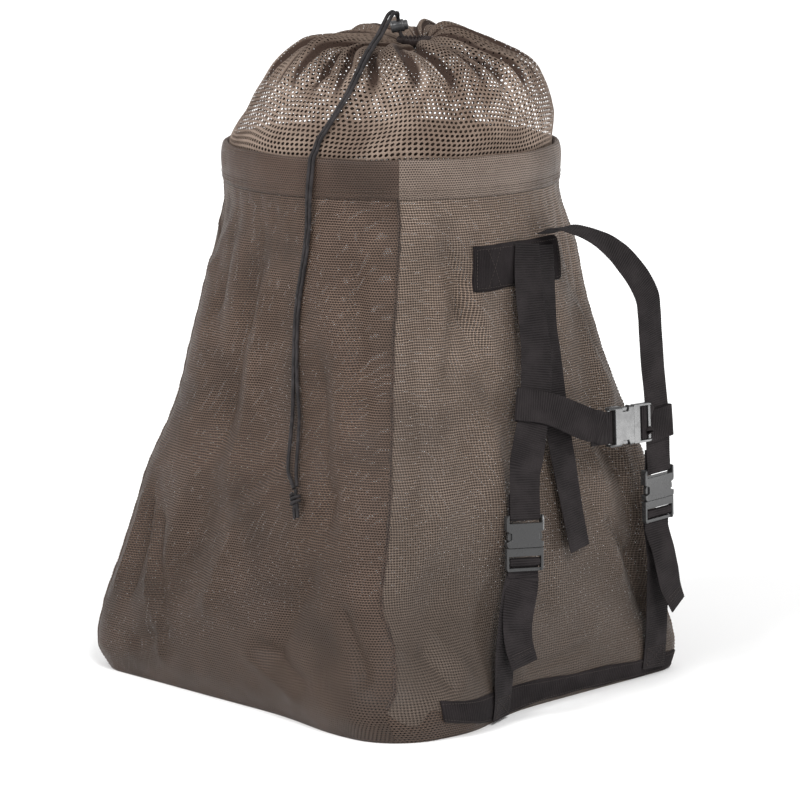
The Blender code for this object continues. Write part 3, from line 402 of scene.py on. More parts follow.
# Side-release buckle in its own frame: half sizes across, limits along, half walls out of its face
SOCKET_HALF = 0.0235
CAVITY_HALF = 0.0204
NOTCH_INNER = 0.0172
SOCKET_LIMITS = (-0.0040, 0.0035, 0.0140, 0.0200, 0.0240, 0.0295, 0.0335)
SOCKET_WALLS = (0.0045, 0.0027, 0.0011)
CROWN_EDGE = (SOCKET_HALF, SOCKET_WALLS[0])
CROWN = 0.0008
PLUG_HALF = 0.0230
PLUG_INNER = 0.0200
PRONG_INNER = 0.0145
TONGUE_HALF = 0.0040
PLUG_LIMITS = (-0.0315, -0.0275, -0.0225, -0.0190, -0.0140, -0.0044, -0.0020, 0.0050, 0.0140, 0.0170)
PLUG_WALLS = (0.0033, 0.0023, 0.0011)
BUCKLE_BEVEL = 0.00055

# Corners that slope or round a buckle's outline: half size across and place along, and how far inwards
# and along they move
SOCKET_MOVES = {
    (SOCKET_HALF, SOCKET_LIMITS[0]): (0.0010, 0.0010),
    (SOCKET_HALF, SOCKET_LIMITS[-1]): (0.0010, -0.0010),
    (SOCKET_HALF, SOCKET_LIMITS[1]): (0.0, -0.0012),
    (SOCKET_HALF, SOCKET_LIMITS[2]): (0.0, 0.0016),
    (NOTCH_INNER, SOCKET_LIMITS[1]): (0.0, 0.0014),
    (NOTCH_INNER, SOCKET_LIMITS[2]): (0.0, -0.0014),
}
PLUG_MOVES = {
    (PLUG_HALF, PLUG_LIMITS[0]): (0.0010, 0.0010),
    (PLUG_HALF, PLUG_LIMITS[-3]): (0.0013, 0.0),
    (PLUG_HALF, PLUG_LIMITS[-2]): (0.0013, -0.0035),
    (PLUG_INNER, PLUG_LIMITS[-1]): (0.0015, 0.0),
}

# How webbing goes round a socket's bar and through a plug's ladder: along and out of the face
SOCKET_WRAP = (
    (0.0620, 0.0014), (0.0480, 0.0018), (0.0400, 0.0023), (0.0335, 0.0024), (0.0302, 0.0024),
    (0.0282, 0.0017), (0.0275, 0.0), (0.0282, -0.0017), (0.0302, -0.0024), (0.0345, -0.0023),
    (0.0450, -0.0016), (0.0570, -0.0012),
)
LADDER_WRAP = (
    (-0.0335, -0.0054), (-0.0230, -0.0050), (-0.0190, -0.0040),
    (-0.0168, -0.0016), (-0.0167, 0.0008), (-0.0184, 0.0025), (-0.0212, 0.0027),
    (-0.0238, 0.0018), (-0.0250, -0.0006), (-0.0262, -0.0022), (-0.0290, -0.0028),
    (-0.0340, -0.0028), (-0.0420, -0.0024),
)

# Where the buckles lie: middle, yaw of the width, way towards the socket, and the width if not level
BUCKLES = {
    "left": ((-0.057, -0.272, 0.201), -22.0, (0.06, 0.06, 0.99)),
    "right": ((0.170, -0.2735, 0.225), -4.0, (-0.06, -0.02, 0.99)),
    "sternum": ((0.110, -0.2815, 0.318), 0.0, (-0.975, 0.150, 0.100), (0.0, 0.05, 1.0)),
}
LEFT_CROSSING = 0.350
RIGHT_CROSSING = 0.312

# Strap routes: x, y, height and yaw of the strap's middle
LEFT_STRAP = (
    (0.012, -0.2092, 0.533, -3.0),
    (0.009, -0.2125, 0.508, -6.0),
    (0.006, -0.2200, 0.469, -13.0),
    (0.003, -0.2320, 0.412, -19.0),
    (-0.010, -0.2440, 0.358, -22.0),
    (-0.026, -0.2520, 0.320, -22.0),
)
LEFT_LAYER = (
    (0.040, -0.2072, 0.528, 3.0),
    (0.039, -0.2090, 0.502, 2.0),
    (0.037, -0.2125, 0.470, 0.0),
    (0.034, -0.2180, 0.435, -3.0),
    (0.032, -0.2290, 0.380, -5.0),
    (0.032, -0.2390, 0.325, -5.0),
    (0.036, -0.2490, 0.270, 0.0),
    (0.040, -0.2570, 0.224, 4.0),
    (0.046, -0.2640, 0.178, 8.0),
)
LEFT_ANCHOR = (
    (-0.098, -0.2752, 0.004, 16.0),
    (-0.098, -0.2782, 0.021, 16.0),
    (-0.096, -0.2778, 0.045, 12.0),
    (-0.091, -0.2765, 0.085, 6.0),
    (-0.081, -0.2750, 0.118, -4.0),
    (-0.066, -0.2710, 0.149, -16.0),
)
LEFT_TAIL = (
    (-0.078, -0.2830, 0.124, -21.0),
    (-0.082, -0.2870, 0.096, -16.0),
    (-0.077, -0.2930, 0.066, -8.0),
)
RIGHT_STRAP = (
    (0.050, -0.2030, 0.5405, 0.0),
    (0.0508, -0.2130, 0.5462, 0.0),
    (0.060, -0.2340, 0.5480, 0.0),
    (0.080, -0.2650, 0.534, 0.0),
    (0.104, -0.2820, 0.507, 0.0),
    (0.128, -0.2895, 0.470, 0.0),
    (0.146, -0.2800, 0.427, 0.0),
    (0.156, -0.2755, 0.382, -2.0),
    (0.162, -0.2755, 0.343, -3.0),
)
RIGHT_ANCHOR = (
    (0.184, -0.2575, 0.010, 0.0),
    (0.185, -0.2600, 0.045, 0.0),
    (0.184, -0.2625, 0.095, -1.0),
    (0.178, -0.2690, 0.145, -3.0),
)
RIGHT_TAIL = (
    (0.176, -0.2810, 0.150, -2.0),
    (0.185, -0.2810, 0.118, 4.0),
    (0.196, -0.2850, 0.090, 14.0),
)
CROSSING_TURN = (
    (0.0195, -0.0036), (0.0220, -0.0024), (0.0229, 0.0), (0.0220, 0.0024), (0.0195, 0.0036),
)
CROSSING_BACK = 0.0120
CROSSING_FRONT = 0.0170
CROSSING_OUT = 0.0040
STERNUM_RISES = (0.0075, 0.0035)
RIB_PITCH = 0.0028
RIB_RISE = 0.00034

# Cord lock: its own frame has the barrel's axis to the right and the hole's axis upwards, leaning
LOCK_MIDDLE = (0.0095, -0.0040, 0.7700)
LOCK_LEAN = 10.0
BARREL_RADIUS = 0.0074
BORE_RADIUS = 0.0062
BARREL_ENDS = (-0.0102, 0.0056)
BARREL_FLOOR = 0.0018
RIB_CUT = 0.00028
RIBS = 12
LOCK_SIDES = 48
LOCK_HARD_EDGE = 35.0
BUTTON_RADIUS = 0.0058
BUTTON_ENDS = (-0.0051, 0.0104)
HOLE_HALF_WIDTH = 0.0047
HOLE_SIDES = 20
BARREL_HOLE = (-0.0032, 0.0025)
BUTTON_HOLE = (-0.0025, 0.0055)

# Drawstring: a loop inside the mouth, then two strands through the lock and down to the knot.
# Each CORD has the spacing of its rows, its radius, the height of its braid and its sides.
MOUTH_MIDDLE = (0.0270, 0.0, 0.7465)
LOOP_RADIUS = 0.0102
LOOP_TURN = 112.0
LOOP_STEPS = 8
CORD_AXIS = (0.31, -0.72, 0.61)
BRAID_PITCH = 0.006
CORD_START_YAW = 45.0
LOOP_CORD = (0.0008, 0.00196, 0.10, 14)
STRAND_CORD = (0.0011, CORD_DIAMETER * 0.55, 0.14, 14)
KNOT_TURN_CORD = (0.0009, 0.0019, 0.12, 12)
KNOT_CORE_CORD = (0.001, 0.0020, 0.10, 12)
KNOT_END_CORD = (0.0009, 0.00195, 0.10, 12)
CORD_SPACING = 0.012
CORD_START = (
    (0.0204, -0.0003, 0.7472, 0.0086),
    (0.0172, -0.0010, 0.7500, 0.0058),
    (0.0136, -0.0030, 0.7560, 0.0030),
    (0.0110, -0.0040, 0.7614, 0.00215),
)
CORD_ROUTE = (
    (0.0028, -0.0084, 0.7791, 0.0022, 45.0),
    (-0.0040, -0.0120, 0.7860, 0.0030, 70.0),
    (-0.0160, -0.0160, 0.7855, 0.0030, 100.0),
    (-0.0290, -0.0195, 0.7745, 0.0026, 115.0),
    (-0.0425, -0.0236, 0.7628, 0.0024, 120.0),
    (-0.0705, -0.0396, 0.7529, 0.0023, 120.0),
    (-0.0975, -0.0557, 0.7420, 0.0023, 115.0),
    (-0.1284, -0.0738, 0.7258, 0.0023, 105.0),
    (-0.1464, -0.0775, 0.7070, 0.0022, 90.0),
    (-0.1549, -0.0744, 0.6935, 0.0022, 80.0),
    (-0.1622, -0.0704, 0.6811, 0.0022, 80.0),
    (-0.1701, -0.0656, 0.6675, 0.0022, 85.0),
    (-0.1768, -0.0613, 0.6550, 0.0022, 95.0),
    (-0.1812, -0.0605, 0.6445, 0.0022, 105.0),
    (-0.1882, -0.0628, 0.6380, 0.0022, 108.0),
    (-0.1920, -0.0640, 0.6240, 0.0022, 108.0),
    (-0.1930, -0.0632, 0.6110, 0.0022, 105.0),
    (-0.1926, -0.0605, 0.5900, 0.0022, 95.0),
    (-0.1910, -0.0580, 0.5600, 0.0022, 90.0),
    (-0.1929, -0.0558, 0.5300, 0.0022, 90.0),
    (-0.1944, -0.0508, 0.5000, 0.0022, 90.0),
    (-0.1959, -0.0462, 0.4720, 0.0022, 90.0),
    (-0.1989, -0.0455, 0.4380, 0.0022, 90.0),
    (-0.2047, -0.0500, 0.4005, 0.0024, 90.0),
    (-0.2089, -0.0545, 0.3700, 0.0036, 90.0),
    (-0.2141, -0.0605, 0.3410, 0.0055, 90.0),
    (-0.2208, -0.0640, 0.3085, 0.0064, 90.0),
    (-0.2304, -0.0715, 0.2855, 0.0062, 90.0),
    (-0.2362, -0.0800, 0.2742, 0.0038, 90.0),
    (-0.2415, -0.0880, 0.2668, 0.0022, 90.0),
)
KNOT_TOP = (-0.2432, -0.0890, 0.2646)
KNOT_FOOT = (-0.2512, -0.0998, 0.2320)
KNOT_OUTWARDS = (-0.98, 0.07, 0.21)
KNOT_CORE = ((0.0002, -0.0018, 0.0), (0.006, -0.0010, 0.0), (0.012, 0.0012, 0.0004), (0.018, 0.0016, 0.0),
             (0.0225, 0.0020, 0.0))
KNOT_ENDS = ((-0.0021, -0.0004), (0.0023, 0.0006))
KNOT_TIP_RADII = (0.00205, 0.0020, 0.0013)
KNOT_STEPS = 24
KNOT_TURNS = 1.25
KNOT_SHIFT = 0.0036
KNOT_START = 0.0052
KNOT_RUN = 0.0058
KNOT_HALF_WIDTH = 0.0058
KNOT_HALF_DEPTH = 0.0036

# Casing round the mouth: half thickness, what the crumples add to it, and how far it lies out and up
CASING_HALF = 0.0019
CASING_CRUMPLE = 0.0013
CASING_OUT = 0.0012
CASING_UP = 0.0030
CASING_GRID = (200, 14)

# Studio: floor, sky, two wide lights (turn from the camera's side, height in degrees, strength) and a card
FLOOR_REACH = 24.0
FLOOR_DROP = 0.0004
SKY_STRENGTH = 0.68
CAMERA_SIDE = 225.0
SOFTBOXES = (("left_softbox", -50.0, 42.0, 1.8), ("right_softbox", 20.0, 42.0, 1.9))
SOFTBOX_SPREAD = 18.0
CARD_PLACE = (0.80, -1.53, 0.10)
CARD_TARGET = (0.11, -0.28, 0.31)
CARD_SIZE = (0.42, 0.14)
CARD_POWER = 5.0

# Colours in linear light
TAUPE = (0.286, 0.205, 0.156)
TAUPE_WORN = (0.402, 0.302, 0.240)
BROWN = (0.156, 0.098, 0.069)
BROWN_WORN = (0.248, 0.163, 0.121)
HEM_TAUPE = (0.208, 0.156, 0.126)
HEM_TAUPE_WORN = (0.284, 0.221, 0.183)
HEM_BROWN = (0.098, 0.060, 0.043)
HEM_BROWN_WORN = (0.140, 0.092, 0.070)
# Painted shade along the front seam: its strip is coloured much darker than the brown cloth
SEAM_SHADE_BROWN = (0.036, 0.023, 0.018)
NET = (0.150, 0.106, 0.081)
NET_WORN = (0.262, 0.198, 0.158)
# Painted shade deep in the net's gathers
NET_GATHER_SHADE = (0.0210, 0.0090, 0.0052)
# Near black: the casing's dark tape and painted shade of the mouth's opening
CASING = (0.0110, 0.0065, 0.0058)
BLACK_WEB = (0.0030, 0.0022, 0.0024)
BLACK_WEB_WORN = (0.0190, 0.0155, 0.0162)
STRAP_BLACK = (0.0040, 0.0032, 0.0034)
STRAP_WORN = (0.0225, 0.0190, 0.0196)
CORD_COLOUR = (0.011, 0.0095, 0.0100)
CORD_WORN = (0.030, 0.026, 0.027)
THREAD = (0.020, 0.014, 0.012)
CLOTH_THREAD = (0.062, 0.044, 0.034)
BUCKLE_COLOUR = (0.029, 0.029, 0.0295)
LOCK_COLOUR = (0.050, 0.050, 0.052)
HOOP_COLOUR = (0.640, 0.620, 0.600)
FLOOR_COLOUR = (0.955, 0.955, 0.955)
FLOOR_PALE = (0.975, 0.975, 0.975)

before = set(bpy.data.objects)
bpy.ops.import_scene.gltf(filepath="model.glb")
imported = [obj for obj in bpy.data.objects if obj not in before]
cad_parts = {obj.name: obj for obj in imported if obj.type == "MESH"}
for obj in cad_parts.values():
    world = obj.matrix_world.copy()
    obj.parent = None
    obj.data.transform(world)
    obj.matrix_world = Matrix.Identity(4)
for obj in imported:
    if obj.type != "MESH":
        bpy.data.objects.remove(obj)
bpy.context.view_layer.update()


def new_object(name, data):
    item = bpy.data.objects.new(name, data)
    bpy.context.scene.collection.objects.link(item)
    return item


def add_camera():
    camera = new_object("camera", bpy.data.cameras.new("camera"))
    camera.data.sensor_width = SENSOR
    camera.data.lens = FOCAL_PIXELS * SENSOR / IMAGE_PIXELS
    camera.data.clip_end = CLIP_END
    camera.location = EYE
    camera.rotation_euler = (math.radians(90.0 - VIEW_PITCH), 0.0, math.radians(-VIEW_TURN))
    bpy.context.scene.camera = camera


def unit(values):
    return np.clip(values, 0.0, 1.0)


def ease(share):
    return share * share * (3.0 - 2.0 * share)


def distances(points):
    """Distance of each point along the line through them."""
    steps = np.linalg.norm(np.diff(points, axis=0), axis=1)
    return np.concatenate([[0.0], np.cumsum(steps)])


def unit_rows(vectors):
    return vectors / np.linalg.norm(vectors, axis=1)[:, None]


def read_rows(places, knots, rows):
    """Every column of a table at places in the knots' measure, straight between its rows."""
    return [np.interp(places, knots, column) for column in np.transpose(rows)]


def smooth_row(rows, place):
    """Values of a table at a place in its first column, read on a smooth curve through its rows."""
    table = np.array(rows, dtype=float)
    knots = table[:, 0]
    place = min(max(place, knots[0]), knots[-1])
    index = int(min(max(np.searchsorted(knots, place) - 1, 0), len(knots) - 2))
    before = table[max(index - 1, 0)]
    start, end = table[index], table[index + 1]
    after = table[min(index + 2, len(knots) - 1)]
    width = end[0] - start[0]
    share = (place - start[0]) / width
    slope_start = (end - before)[1:] / (end[0] - before[0]) * width
    slope_end = (after - start)[1:] / (after[0] - start[0]) * width
    square, cube = share * share, share * share * share
    return ((2 * cube - 3 * square + 1) * start[1:] + (cube - 2 * square + share) * slope_start
            + (3 * square - 2 * cube) * end[1:] + (cube - square) * slope_end)


def curve_through(rows, spacing):
    """Rows of numbers resampled at about an even spacing on a smooth curve through them."""
    table = np.array(rows, dtype=float)
    run = distances(table[:, :3])
    keyed = np.column_stack([run, table])
    count = max(2, round(run[-1] / spacing) + 1)
    return [smooth_row(keyed, place) for place in np.linspace(0.0, run[-1], count)]


def fine_line(points, spacing):
    return np.array([row[:3] for row in curve_through([tuple(point) for point in points], spacing)])


def yaw_direction(degrees):
    angle = math.radians(degrees)
    return Vector((math.cos(angle), math.sin(angle), 0.0))


def seen_place(right, back, height):
    """A place by how far right and back it lies from the axis, as the camera sees it, and its height."""
    return RIGHTWARDS * right + DEPTHWARDS * back + Vector((0.0, 0.0, height))


def frame_matrix(*columns):
    """The matrix that has three axes and a place as its columns."""
    return Matrix([[column[line] for column in columns] for line in range(3)] + [[0.0, 0.0, 0.0, 1.0]])


def round_distance(place, other):
    """Distance in panels from one place to another, the short way round."""
    return (place - other + 2.0) % 4.0 - 2.0


def ripple(across, along, seed):
    """An uneven surface, about -1 to 1: several waves in fixed directions."""
    waves = np.random.default_rng(seed)
    total = np.zeros_like(across)
    shortest, longest = RIPPLE_LENGTHS
    for _ in range(RIPPLE_WAVES):
        turn = waves.uniform(0.0, math.pi)
        length = waves.uniform(shortest, longest)
        start = waves.uniform(0.0, math.tau)
        run = across * math.cos(turn) + along * math.sin(turn)
        total += np.sin(run * math.tau / length + start) * (length / longest)
    return total / RIPPLE_SUM


def make_section_table():
    rows = []
    for height in SECTION_HEIGHTS:
        reach, rounding, lean, sway = smooth_row(SECTIONS, height)
        half = (reach + (math.sqrt(2.0) - 1.0) * rounding) / math.sqrt(2.0)
        rows.append((half, min(rounding, half), lean, sway))
    return np.array(rows)


SECTION_HEIGHTS = np.linspace(0.0, SECTIONS[-1][0], TABLE_HEIGHTS)
SECTION_ROWS = make_section_table()


def section(heights):
    """Half side, corner rounding, lean and corner sway of the shell at each height."""
    return read_rows(heights, SECTION_HEIGHTS, SECTION_ROWS)


def panel_length(heights):
    half, rounding, _, _ = section(heights)
    return 2.0 * (half - rounding) + rounding * math.pi / 2.0


def crease_offset(across, along, end_across, end_along, half_width, rise):
    """Rise of one crease: across and along are distances from its start."""
    size = np.hypot(end_across, end_along)
    run = (across * end_across + along * end_along) / size ** 2
    aside = np.abs(across * end_along - along * end_across) / size
    ends = ease(unit(np.minimum(run, 1.0 - run) * CREASE_TAPER + CREASE_END))
    return rise * ends * np.exp(-(aside / half_width) ** 1.5)


def shell_rise(places, heights, length):
    """How far folds, creases and ripples push the shell outwards."""
    total = np.zeros_like(places)
    for centre, level, half_width, half_length, rise, slant in FOLDS:
        across = round_distance(places, centre) * length - slant * (heights - level)
        along = (heights - level) / half_length
        total += rise * np.exp(-(across / half_width) ** 2 - along ** 2)
    fine = np.zeros_like(places)
    for place, height, end_place, end_height, half_width, rise in CREASES:
        across = round_distance(places, place) * length
        fine += crease_offset(across, heights - height, (end_place - place) * CREASE_PANEL,
                              end_height - height, half_width, rise)
    for place, half_width, foot, top in PRESSED:
        aside = unit(PRESSED_EDGE - np.abs(round_distance(places, place)) * length / half_width)
        level = unit(np.minimum(heights - foot, top - heights) / PRESSED_FADE + 1.0)
        fine -= aside * level * np.maximum(fine, 0.0)
    total += fine
    total *= ease(unit((FOLD_TOP - heights) / FOLD_FADE))
    below = unit(HEM_FOOT - heights)
    wave = 0.5 - 0.5 * np.cos(places / 4.0 * math.tau * PUCKERS + 1.7 * np.sin(places * 9.0))
    total -= (PUCKER_DEPTH * wave ** 2 * (1.0 - np.exp(-below / PUCKER_START))
              * np.exp(-below / PUCKER_REACH))
    uneven = ripple(places * length, heights, SHELL_SEED)
    return total + RIPPLE * uneven * unit(heights / RIPPLE_FOOT) * unit(below / RIPPLE_TOP)


def leaning(x, y, heights, lean):
    """Points from their coordinates, moved by a lean towards the +X -Y corner."""
    return np.stack([x + RIGHTWARDS.x * lean, y + RIGHTWARDS.y * lean, heights], axis=-1)


def shell_points(places, heights, lift=0.0):
    """Points of the shell's outer face, lifted along the outline's normal there."""
    heights = np.broadcast_to(heights, places.shape)
    half, rounding, lean, sway = section(heights)
    length = panel_length(heights)
    panel = np.floor(places)
    along = (places - panel) * length - length / 2.0
    straight = half - rounding
    turn = np.maximum(np.abs(along) - straight, 0.0) / rounding
    side = np.where(along < 0.0, -1.0, 1.0)
    rise = shell_rise(places, heights, length) + lift
    x = side * (np.minimum(np.abs(along), straight) + (rounding + rise) * np.sin(turn))
    y = -(straight + (rounding + rise) * np.cos(turn))
    quarter = np.radians(90.0 * panel)
    drift = lean + sway * np.exp(-(round_distance(places, 0.0) * length / SWAY_REACH) ** 2)
    return leaning(x * np.cos(quarter) - y * np.sin(quarter), x * np.sin(quarter) + y * np.cos(quarter),
                   heights, drift)


def seam_place(corner, heights):
    """Place of a corner's seam line; the front one wanders."""
    if corner % 4 != 0:
        return np.full(heights.shape, float(corner))
    fine = np.linspace(0.0, SEAM_LINE[-1][0], TABLE_TURNS)
    turns = [smooth_row(SEAM_LINE, height)[0] for height in fine]
    return corner + np.interp(heights, fine, turns)


def ring_angle(place):
    return np.radians(-135.0 + 90.0 * place)


def ring_points(places, radii, heights):
    angle = ring_angle(places)
    return np.stack([radii * np.cos(angle), radii * np.sin(angle),
                     np.broadcast_to(heights, angle.shape)], axis=-1)


def make_collar_table():
    """Collar sections at fine ways, each with the share of its normal outwards and upwards."""
    rows = []
    for way in COLLAR_WAYS:
        height, radius, lean, pleat = smooth_row(COLLAR, way)
        low = smooth_row(COLLAR, way - 0.01)
        high = smooth_row(COLLAR, way + 0.01)
        rise, run = high[0] - low[0], low[1] - high[1]
        scale = math.hypot(rise, run)
        rows.append((height, radius, lean, pleat, rise / scale, run / scale))
    return np.array(rows)


COLLAR_WAYS = np.linspace(0.0, 1.0, TABLE_WAYS)
COLLAR_TABLE = make_collar_table()
COLLAR_LENGTHS = distances(COLLAR_TABLE[:, :2])


def collar_length(ways):
    """Distance over the collar from its foot to a way."""
    return np.interp(ways, COLLAR_WAYS, COLLAR_LENGTHS)


def gather_valley(angle, ways):
    """How deep in a gather of the net a point lies: 0 on the pleats, up to 1 in the valleys."""
    start = unit((ways - GATHER_START) / (GATHER_FULL - GATHER_START))
    share = start ** 1.2 * unit((1.06 - ways) / 0.12) ** 0.5
    uneven = 0.70 + 0.30 * np.sin(angle * 5.0 + 1.0) * np.sin(angle * 3.0)
    wave = 0.5 + 0.5 * np.cos(GATHERS * angle + 1.6 * np.sin(angle * 4.0) + 1.5 * ways)
    return uneven * share * wave ** 3


def collar_points(places, ways, lift):
    """Points of the net collar, pushed along its own normal by pleats, lumps, gathers and folds."""
    height, radius, lean, pleat, rise, run = read_rows(ways, COLLAR_WAYS, COLLAR_TABLE)
    angle = ring_angle(places)
    push = pleat * np.cos(PLEATS * (angle + PLEAT_TURN * ways)) + lift
    for centre, level, half_width, half_length, bump in COLLAR_LUMPS:
        across = round_distance(places, centre) / half_width
        push += bump * np.exp(-across ** 2 - ((ways - level) / half_length) ** 2)
    front = 0.5 + 0.5 * np.cos(angle - ring_angle(GATHER_FRONT))
    push -= (GATHER_DEPTH * gather_valley(angle, ways) * np.clip(radius / GATHER_RADIUS, 0.35, 1.0)
             * (0.30 + 0.70 * front))
    length = collar_length(ways)
    for place, way, end_place, end_way, half_width, bump in NET_FOLDS:
        across = round_distance(places, place) * radius * math.pi / 2.0
        start = collar_length(way)
        push += crease_offset(across, length - start, (end_place - place) * NET_PANEL,
                              collar_length(end_way) - start, half_width, bump)
    uneven = ripple(places * NET_RIPPLE_PANEL, length, NET_SEED)
    push += NET_RIPPLE * uneven * unit(ways / 0.2) * unit((1.0 - ways) / 0.1)
    radius = radius + push * rise
    return leaning(radius * np.cos(angle), radius * np.sin(angle), height + push * run, lean)


class Graph:
    """Adds nodes to one material and links them."""

    def __init__(self, name):
        self.surface = bpy.data.materials.new(name)
        self.surface.use_nodes = True
        self.tree = self.surface.node_tree
        self.shader = self.tree.nodes["Principled BSDF"]

    def put(self, socket, value):
        """Links a socket to another, or sets its own number or colour."""
        if isinstance(value, bpy.types.NodeSocket):
            self.tree.links.new(value, socket)
        else:
            socket.default_value = (*value, 1.0) if isinstance(value, tuple) else value

    def node(self, kind, inputs=(), output=0, **settings):
        made = self.tree.nodes.new(kind)
        for key, value in settings.items():
            setattr(made, key, value)
        for key, value in dict(inputs).items():
            self.put(made.inputs[key], value)
        return made.outputs[output]

    def math(self, operation, *values):
        return self.node("ShaderNodeMath", dict(enumerate(values)), operation=operation)

    def layer(self, name="cloth"):
        return self.node("ShaderNodeUVMap", uv_map=name)

    def place(self):
        return self.node("ShaderNodeTexCoord", output=3)

    def part(self, vector, axis):
        return self.node("ShaderNodeSeparateXYZ", {0: vector}, axis)

    def noise(self, place, scale, detail, roughness=0.55):
        return self.node("ShaderNodeTexNoise", {"Vector": place, "Scale": scale, "Detail": detail,
                                                "Roughness": roughness})

    def step(self, value, low, high, to_low=0.0, to_high=1.0):
        return self.node("ShaderNodeMapRange", {"Value": value, "From Min": low, "From Max": high,
                                                "To Min": to_low, "To Max": to_high},
                         interpolation_type="SMOOTHSTEP")

    def blend(self, share, first, second):
        return self.node("ShaderNodeMix", {0: share, 6: first, 7: second}, 2, data_type="RGBA")

    def coats(self, tint, *rows):
        """A tint under coats: a value, its two limits, how much colour lies at each, and the colour."""
        for value, low, high, to_low, to_high, colour in rows:
            tint = self.blend(self.step(value, low, high, to_low, to_high), tint, colour)
        return tint

    def bump(self, height, distance, strength):
        return self.node("ShaderNodeBump", {"Height": height, "Distance": distance,
                                            "Strength": strength})

    def finish(self, colour, roughness, specular, sheen=0.0, **more):
        values = {"Base Color": colour, "Roughness": roughness, "Specular IOR Level": specular,
                  "Sheen Weight": sheen, "Sheen Roughness": 0.5, **more}
        for key, value in values.items():
            self.put(self.shader.inputs[key], value)
        return self.surface


def scaled(colour, factor):
    return tuple(value * factor for value in colour)


def mesh_cloth(name, colour, worn, pitch, stagger, hole, lines, foot=1.0, core=(0.05, 0.16)):
    """Open mesh: rows of small holes in metres of cloth, yarn relief, uneven wear, random darker patches,
    painted shade in the holes, and painted shade darker towards the bottom.
    """
    graph = Graph(name)
    cloth = graph.layer()
    wide = graph.noise(cloth, 9.0, 4.0)
    patchy = graph.noise(cloth, 45.0, 3.0)
    warp = graph.math("MULTIPLY", graph.math("SUBTRACT", patchy, 0.5), pitch[0] * 0.8)
    across, along = (graph.math("DIVIDE", graph.math("ADD", graph.part(cloth, axis), warp), pitch[axis])
                     for axis in (0, 1))
    odd = graph.math("MULTIPLY", graph.math("MODULO", graph.math("FLOOR", along), 2.0), stagger * 0.5)

    def from_middle(value, share):
        """How far from its cell's middle a point lies, 1 at the edge of the hole."""
        aside = graph.math("ABSOLUTE", graph.math("SUBTRACT", graph.math("FRACT", value), 0.5))
        return graph.math("POWER", graph.math("MULTIPLY", aside, 2.0 / share), 3.0)

    reach = graph.math("ADD", from_middle(graph.math("ADD", across, odd), hole[0]),
                       from_middle(along, hole[1]))
    # relief is 0 in a hole's middle and 1 on the yarn; the tint paints shade in the holes from it
    relief = graph.step(reach, 0.7, 2.6)
    thread = graph.noise(cloth, 1400.0, 2.0)
    shade = graph.math("ADD", graph.math("MULTIPLY", wide, 0.65), graph.math("MULTIPLY", patchy, 0.35))
    # Height over the floor, a little uneven, for painted shade darker towards the bottom
    level = graph.math("ADD", graph.part(graph.place(), 2), graph.math("MULTIPLY", wide, 0.18))
    weft = graph.math("SINE", graph.math("MULTIPLY", along, math.tau))
    dark = scaled(colour, 0.13)
    tint = graph.coats(colour, (shade, 0.36, 0.66, 0.0, 1.0, worn),
                       # painted shade: low on the bag the cloth goes up to 1 - foot of the way to black
                       (level, 0.06, 0.66, 1.0 - foot, 0.0, (0.0, 0.0, 0.0)),
                       (graph.noise(cloth, 7.0, 2.0), 0.46, 0.66, 0.0, 0.42, dark),
                       # painted shade in the holes, standing in for the dark inside of the bag seen through
                       # them
                       (relief, 0.0, 0.9, 0.95, 0.0, dark), (thread, 0.25, 0.62, 0.40, 0.0, dark),
                       (weft, -1.0, 1.0, lines, 0.0, dark))
    height = graph.math("ADD", relief, graph.math("MULTIPLY", thread, 0.35))
    return graph.finish(tint, graph.step(patchy, 0.3, 0.7, 0.46, 0.62), 0.24, 0.03,
                        Normal=graph.bump(height, 0.0005, 0.7), Alpha=graph.step(reach, *core))


def hem_cloth(name, colour, worn):
    """Two folded layers of mesh lying on each other, so that hardly a hole shows through."""
    return mesh_cloth(name, colour, worn, (0.0030, 0.0027), 1.0, (0.56, 0.50), 0.40)


def net_cloth():
    """Yarn of the coarse net: twisted fibres, worn paler in patches, and painted shade darker towards the
    mouth and deep in the gathers.
    """
    graph = Graph("net_yarn")
    place = graph.place()
    wide = graph.noise(place, 14.0, 4.0)
    fibre = graph.noise(place, 1500.0, 2.0)
    dark = scaled(NET, 0.40)
    tint = graph.coats(NET, (wide, 0.38, 0.64, 0.0, 1.0, NET_WORN),
                       # painted shade: the yarn darkens by height towards the mouth
                       (graph.part(place, 2), 0.712, 0.756, 0.0, 0.60, dark),
                       # painted shade deep in the gathers, read from the fold layer
                       (graph.part(graph.layer("fold"), 0), 0.05, 0.32, 0.0, 0.97, NET_GATHER_SHADE),
                       (fibre, 0.3, 0.6, 0.55, 0.0, dark))
    return graph.finish(tint, graph.step(wide, 0.3, 0.7, 0.62, 0.76), 0.16, 0.02,
                        Normal=graph.bump(fibre, 0.0004, 0.6))


def casing_cloth():
    """Smooth tape rolled round the mouth, near black: dark tape with painted shade of the mouth's opening.
    """
    graph = Graph("casing_tape")
    fibre = graph.noise(graph.place(), 900.0, 3.0)
    tint = graph.blend(graph.step(fibre, 0.35, 0.7), CASING, scaled(CASING, 1.9))
    return graph.finish(tint, 0.6, 0.25, 0.03, Normal=graph.bump(fibre, 0.0003, 0.6))


